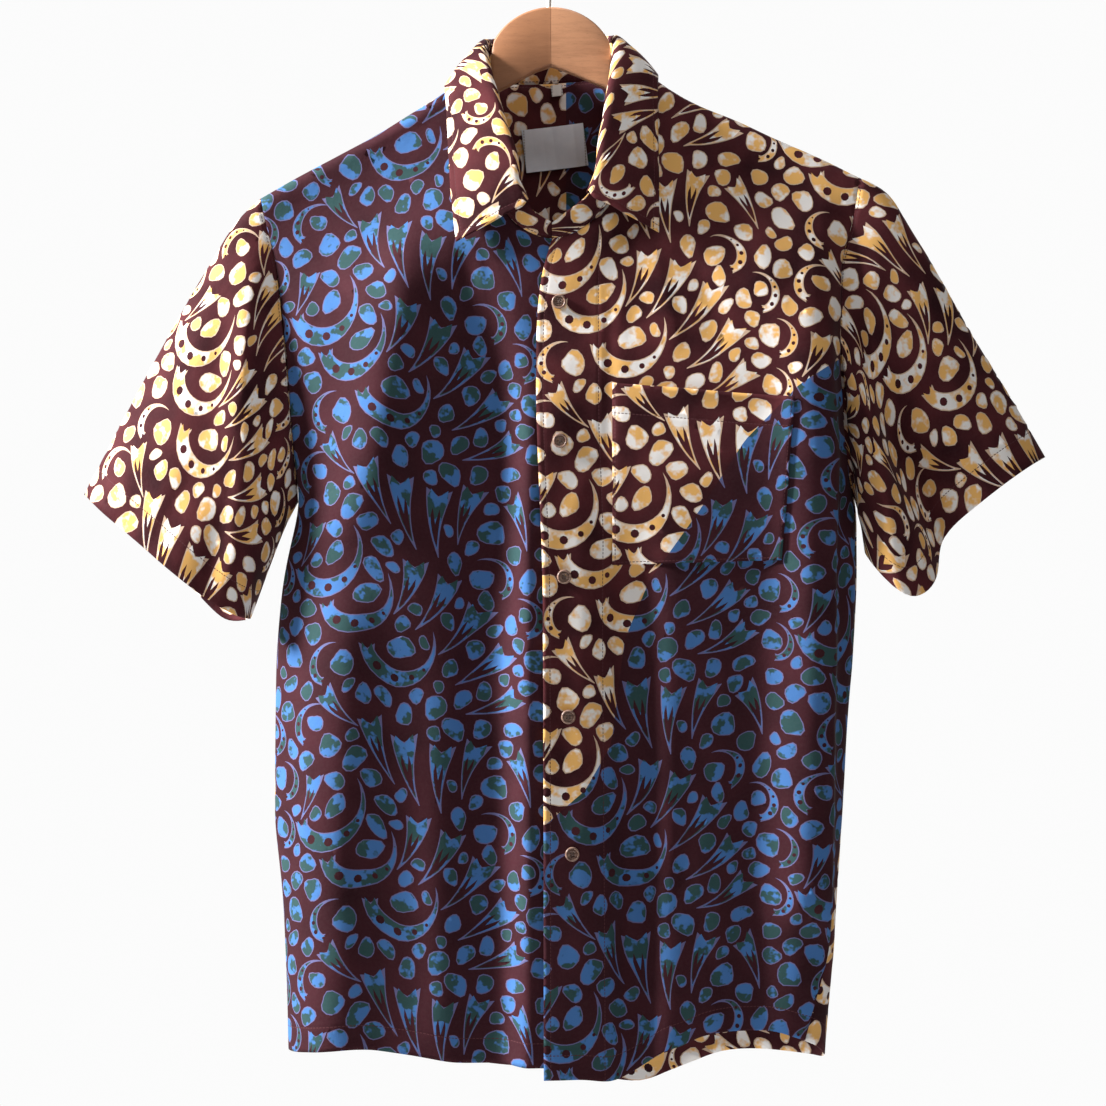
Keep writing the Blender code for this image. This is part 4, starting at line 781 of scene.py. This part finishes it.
HORN = horn_finish()
BROWN_THREAD = thread_finish("brown_thread", (0.16, 0.10, 0.08), (0.07, 0.04, 0.035))
for number in range(1, 6):
    node = f"button_{number}"
    points = np.array([vert.co[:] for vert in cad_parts[node].data.vertices])
    centre = (points.min(axis=0) + points.max(axis=0)) / 2
    axis = Vector(np.linalg.svd(points - points.mean(axis=0), full_matrices=False)[2][2])
    if axis.y > 0:
        axis.negate()
    bm = bmesh.new()
    bmesh.ops.create_circle(bm, segments=28, radius=WEB_RADIUS)
    for x, y in ((1, 1), (-1, 1), (-1, -1), (1, -1)):
        hole = bmesh.ops.create_circle(bm, segments=10, radius=HOLE)["verts"]
        bmesh.ops.translate(bm, vec=(x * HOLE_PLACE, y * HOLE_PLACE, 0), verts=hole)
    bmesh.ops.triangle_fill(bm, use_beauty=True, edges=bm.edges[:])
    web = bmesh.ops.extrude_face_region(bm, geom=bm.faces[:])["geom"]
    bmesh.ops.translate(bm, vec=(0, 0, WEB), verts=[v for v in web if isinstance(v, bmesh.types.BMVert)])
    bmesh.ops.translate(bm, vec=(0, 0, WEB_FOOT), verts=bm.verts[:])
    profile = [bm.verts.new((share * BUTTON, 0, high / 1000)) for share, high in RIM]
    edges = [bm.edges.new((profile[k - 1], profile[k])) for k in range(len(profile))]
    bmesh.ops.spin(bm, geom=profile + edges, axis=(0, 0, 1), cent=(0, 0, 0), angle=math.tau, steps=40,
                   use_merge=True)
    bmesh.ops.remove_doubles(bm, verts=bm.verts[:], dist=1e-6)
    bmesh.ops.recalc_face_normals(bm, faces=bm.faces[:])
    horn_faces = set(bm.faces)
    for turn in (math.pi / 4, -math.pi / 4):
        strand = bmesh.new()
        loop = bmesh.ops.create_circle(strand, segments=8, radius=THREAD)["verts"]
        bmesh.ops.translate(strand, vec=(HOLE_PLACE * math.sqrt(2), 0, 0), verts=loop)
        bmesh.ops.spin(strand, geom=strand.verts[:] + strand.edges[:], axis=(0, -1, 0), cent=(0, 0, 0),
                       angle=math.pi, steps=10)
        bmesh.ops.holes_fill(strand, edges=strand.edges[:])
        bmesh.ops.scale(strand, vec=(1, 1, FLATTENED), verts=strand.verts[:])
        bmesh.ops.rotate(strand, matrix=Matrix.Rotation(turn, 3, "Z"), verts=strand.verts[:])
        bmesh.ops.translate(strand, vec=(0, 0, THREAD_PLACE), verts=strand.verts[:])
        bmesh.ops.recalc_face_normals(strand, faces=strand.faces[:])
        spare = bpy.data.meshes.new("strand")
        strand.to_mesh(spare)
        strand.free()
        bm.from_mesh(spare)
        bpy.data.meshes.remove(spare)
    for face in bm.faces:
        face.material_index = int(face not in horn_faces)
    bmesh.ops.rotate(bm, matrix=axis.to_track_quat("Z", "Y").to_matrix(), verts=bm.verts[:])
    bmesh.ops.translate(bm, vec=Vector(centre) - axis * HALF_DISC, verts=bm.verts[:])
    piece = mesh_piece(f"horn_button_{number}", bm, HORN, BROWN_THREAD)
    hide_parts(node)

# ================================================================ the labels
# A woven satin label and a small tab above it, both bare, sewn down inside the neck at their
# two ends. The label lies a little askew, and its rows of stitches lie askew with it.
LABEL_STITCH, LABEL_THREAD = (0.0022, 0.0015), 0.0004   # from stitch to stitch and its length, half width
LABEL_TURN = 0.0012        # width of the turned edge that dips beside the stitches, painted darker there as shade


def satin_finish(name, node, light, dark, tilt, ends):
    """Woven satin in the piece's own plane, with a row of stitches near both ends, and painted shade in the
    dip of the turned edge beside them.
    """
    paint = Paint(name, roughness=0.45, sheen_weight=0.1)
    low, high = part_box(node)
    middle = [(a + b) / 2 for a, b in zip(low, high)]
    place = paint.node("Mapping", dict(vector_type="TEXTURE"), paint.node("TexCoord", {}, out=3), middle,
                       (0.0, tilt, 0.0))
    across = paint.node("SeparateXYZ", {}, place)
    up = paint.node("SeparateXYZ", {}, place, out=2)
    rib = paint.node("TexWave", dict(bands_direction="Z"), Vector=place, Scale=520.0, Distortion=1.0,
                     Detail=1.0)
    cloud = paint.noise(place, 130.0, 3.0)
    way = abs(abs(across) - ends)
    thread = (way < LABEL_THREAD) * (up % LABEL_STITCH[0] < LABEL_STITCH[1])
    # Painted shade: the colour darkens beside each row of stitches, where the turned edge dips, and the bump
    # dents it there too.
    fold = paint.node("MapRange", {}, way, 0.0, LABEL_TURN, 0.35, 0.0)
    colour = paint.mix(cloud * 0.8 + rib * 0.2, dark, light)
    colour = paint.mix(fold, colour, tuple(value * 0.55 for value in dark))
    colour = paint.mix(thread, colour, (0.30, 0.29, 0.30))
    bump = paint.node("Bump", {}, Strength=0.3, Distance=0.0002, Height=rib + thread - fold)
    return paint.finish(Base_Color=colour, Normal=bump)


for node, name, light, dark, tilt, ends in (
        ("neck_label", "label_satin", (0.86, 0.91, 1.00), (0.70, 0.76, 0.86), -0.045, 0.0232),
        ("size_tab", "tab_satin", (0.86, 0.85, 0.83), (0.76, 0.75, 0.73), 0.0, 0.0039)):
    satin = satin_finish(name, node, light, dark, tilt, ends)
    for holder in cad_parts[node].material_slots:
        holder.material = satin

# ================================================================ the hanger's wood
# Two bent halves of lacquered beech, mitred together under the hook: a flat crown with eased
# edges that goes over into round arms inside the shoulders.
HALF_WOOD = 0.0061         # half its thickness
THIN_END = 0.6             # share of the thickness that is left at the arms' tips
EASED, ROUND = 0.0021, 0.0060   # radius of the edges on the crown and on the arms
MIDDLE, CROWN = 0.0018, 0.0433  # the crown's middle, and how far its curve reaches to each side
CROWN_ENDS, ARM_STARTS = 0.034, 0.062   # where the edges begin and end to grow round
JOINT = 0.0014             # where the two halves meet
SIDES = 24
FULL_STATION = 50          # more points than this, where the frame has an upper and an underside


def beech_finish():
    """Warm lacquered wood with grain along each arm, the wearer's right half painted darker and browner as
    shade and the other half lighter as lit.
    """
    paint = Paint("beech", coat_roughness=0.2)
    place = paint.node("TexCoord", {}, out=3)
    across = paint.node("SeparateXYZ", {}, place)
    # Painted shade and light: half runs across the joint from the wearer's right half, which gets the darker
    # colours below as shade, to the other half, which gets the lighter ones as lit.
    half = paint.node("MapRange", {}, across, 0.0004, 0.0024)
    grain = paint.noise(paint.node("Mapping", {}, Vector=place, Scale=(0.35, 2.0, 2.4)), 120.0, 5.0, 0.6)
    pore = paint.noise(paint.node("Mapping", {}, Vector=place, Scale=(0.25, 2.0, 2.0)), 900.0, 2.0)
    cloud = paint.noise(place, 24.0, 2.0)
    left = paint.mix(cloud, (0.30, 0.125, 0.055), (0.47, 0.215, 0.105))
    right = paint.mix(cloud, (0.50, 0.235, 0.120), (0.62, 0.310, 0.165))
    colour = paint.mix(half, left, right)
    colour = paint.mix(paint.node("MapRange", {}, grain, 0.42, 0.68, 0.0, 0.30), colour, (0.22, 0.085, 0.035))
    colour = paint.mix(paint.node("MapRange", {}, pore, 0.60, 0.72, 0.0, 0.35), colour, (0.13, 0.05, 0.025))
    joint = paint.node("MapRange", {}, abs(across - JOINT), 0.0, 0.0004, 1.0, 0.0)
    colour = paint.mix(joint * 0.5, colour, (0.10, 0.04, 0.02))
    bump = paint.node("Bump", {}, Strength=0.25, Distance=0.0004, Height=grain * 0.4 - pore * 0.3 - joint)
    return paint.finish(Base_Color=colour, Roughness=grain * 0.2 + 0.34, Normal=bump)


points = np.array([vert.co[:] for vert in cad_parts["hanger_wood"].data.vertices])
stations = np.unique(points[:, 0].round(5))
heights = [points[abs(points[:, 0] - x) < 2e-5, 2] for x in stations]
top = np.array([z.max() for z in heights])
crown = abs(stations - MIDDLE) < CROWN
whole = np.array([len(z) > FULL_STATION for z in heights])
under = np.array([z.min() for z in heights])[whole]
bm = bmesh.new()
loops = []
between = [stations[:-1] + (stations[1:] - stations[:-1]) * share for share in (0, 1 / 3, 2 / 3)]
for x in np.unique(np.r_[stations, np.concatenate(between)]):
    high = float(np.interp(x, stations, top))
    if abs(x - MIDDLE) < CROWN:
        high = float(spline(top[crown, None], stations[crown], np.array([x]))[0, 0])
    low = float(np.interp(x, stations[whole], under))
    share = min(max((abs(x - MIDDLE) - CROWN_ENDS) / (ARM_STARTS - CROWN_ENDS), 0), 1)
    thick = HALF_WOOD * (THIN_END if x in (stations[0], stations[-1]) else 1.0)
    corner = min(EASED + (ROUND - EASED) * share, thick - 0.0001, (high - low) / 2 - 0.0001)
    ring = []
    for angle in (np.arange(SIDES) + 0.5) * math.tau / SIDES:
        y = math.copysign(thick - corner, math.cos(angle)) + corner * math.cos(angle)
        z = math.copysign((high - low) / 2 - corner, math.sin(angle)) + corner * math.sin(angle)
        ring.append(bm.verts.new((x, y, (high + low) / 2 + z)))
    loops.append([bm.edges.new((ring[k - 1], ring[k])) for k in range(SIDES)])
for one, other in zip(loops, loops[1:]):
    bmesh.ops.bridge_loops(bm, edges=one + other)
for ends in (loops[0], loops[-1]):
    bmesh.ops.edgeloop_fill(bm, edges=ends)
bmesh.ops.recalc_face_normals(bm, faces=bm.faces[:])
piece = mesh_piece("beech_bow", bm, beech_finish())
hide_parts("hanger_wood")

# ================================================================ the hanger's hook
# Drawn steel wire, plated bright, bent round to hang from a rail and set in a hole in the
# middle of the crown. It keeps the frame's own shape.


def steel_finish():
    """Plated wire with fine lines along it."""
    paint = Paint("plated_steel", metallic=0.7)
    place = paint.node("TexCoord", {}, out=3)
    line = paint.noise(paint.node("Mapping", {}, Vector=place, Scale=(3.0, 3.0, 0.4)), 1200.0, 2.0)
    cloud = paint.noise(place, 90.0, 3.0)
    return paint.finish(Base_Color=paint.mix(cloud, (0.84, 0.82, 0.78), (0.95, 0.94, 0.90)),
                        Roughness=line * 0.16 + 0.36)


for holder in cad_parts["hanger_hook"].material_slots:
    holder.material = steel_finish()

# ================================================================ the studio
# A small window's light from the wearer's right, a weak fill in front, and a lamp each above
# and behind. A pale floor lies far below, where it is under a shirt on a rail, and the world is
# white to the eye and dim as a light.
EYE = (0.00294, -2.2, -0.46893)
FIELD = 2 * math.atan(0.18905)
FLOOR_Z, FLOOR = -1.75, 2.7   # height and radius
DIM, WHITE = 0.085, 0.97   # the world as a light, and to the eye
disc = bmesh.new()
bmesh.ops.create_circle(disc, cap_ends=True, segments=96, radius=FLOOR)
bmesh.ops.translate(disc, vec=(0, 0, FLOOR_Z), verts=disc.verts[:])
mesh = bpy.data.meshes.new("floor")
disc.to_mesh(mesh)
disc.free()
floor = bpy.data.objects.new("floor", mesh)
bpy.context.collection.objects.link(floor)
paper = Paint("paper", roughness=0.9)
cloud = paper.noise(paper.node("TexCoord", {}, out=3), 2.0)
mesh.materials.append(paper.finish(Base_Color=paper.mix(cloud, (0.86, 0.86, 0.86), (0.89, 0.89, 0.89))))

camera = bpy.data.cameras.new("camera")
camera.angle = FIELD
eye = bpy.data.objects.new("camera", camera)
eye.location = EYE
eye.rotation_euler = (math.pi / 2, 0, 0)
bpy.context.collection.objects.link(eye)
bpy.context.scene.camera = eye

for name, at, aim, size, power in (
        ("window", (-2.25, -0.36, 0.90), (0, 0, -0.40), 0.55, 262),
        ("fill", (0.5, -3.2, 0.2), (0, 0, -0.45), 1.6, 2.5),
        ("above", (0.3, -0.7, 1.6), (0.05, 0, -0.2), 1.0, 17),
        ("behind", (1.3, 2.6, 0.9), (0, 0, -0.40), 1.6, 50)):
    lamp = bpy.data.lights.new(name, "AREA")
    lamp.shape, lamp.size, lamp.energy = "DISK", size, power
    light = bpy.data.objects.new(name, lamp)
    light.location = at
    light.rotation_euler = (Vector(aim) - Vector(at)).to_track_quat("-Z", "Y").to_euler()
    light.visible_camera = False
    bpy.context.collection.objects.link(light)
world = bpy.data.worlds.new("studio")
bpy.context.scene.world = world
world.use_nodes = True
seen = world.node_tree.nodes.new("ShaderNodeLightPath").outputs["Is Camera Ray"]
strength = world.node_tree.nodes.new("ShaderNodeMapRange")
strength.inputs["To Min"].default_value, strength.inputs["To Max"].default_value = DIM, WHITE
world.node_tree.links.new(seen, strength.inputs["Value"])
background = world.node_tree.nodes["Background"]
background.inputs["Color"].default_value = (1, 1, 1, 1)
world.node_tree.links.new(strength.outputs["Result"], background.inputs["Strength"])
bpy.context.scene.view_settings.view_transform = "Standard"
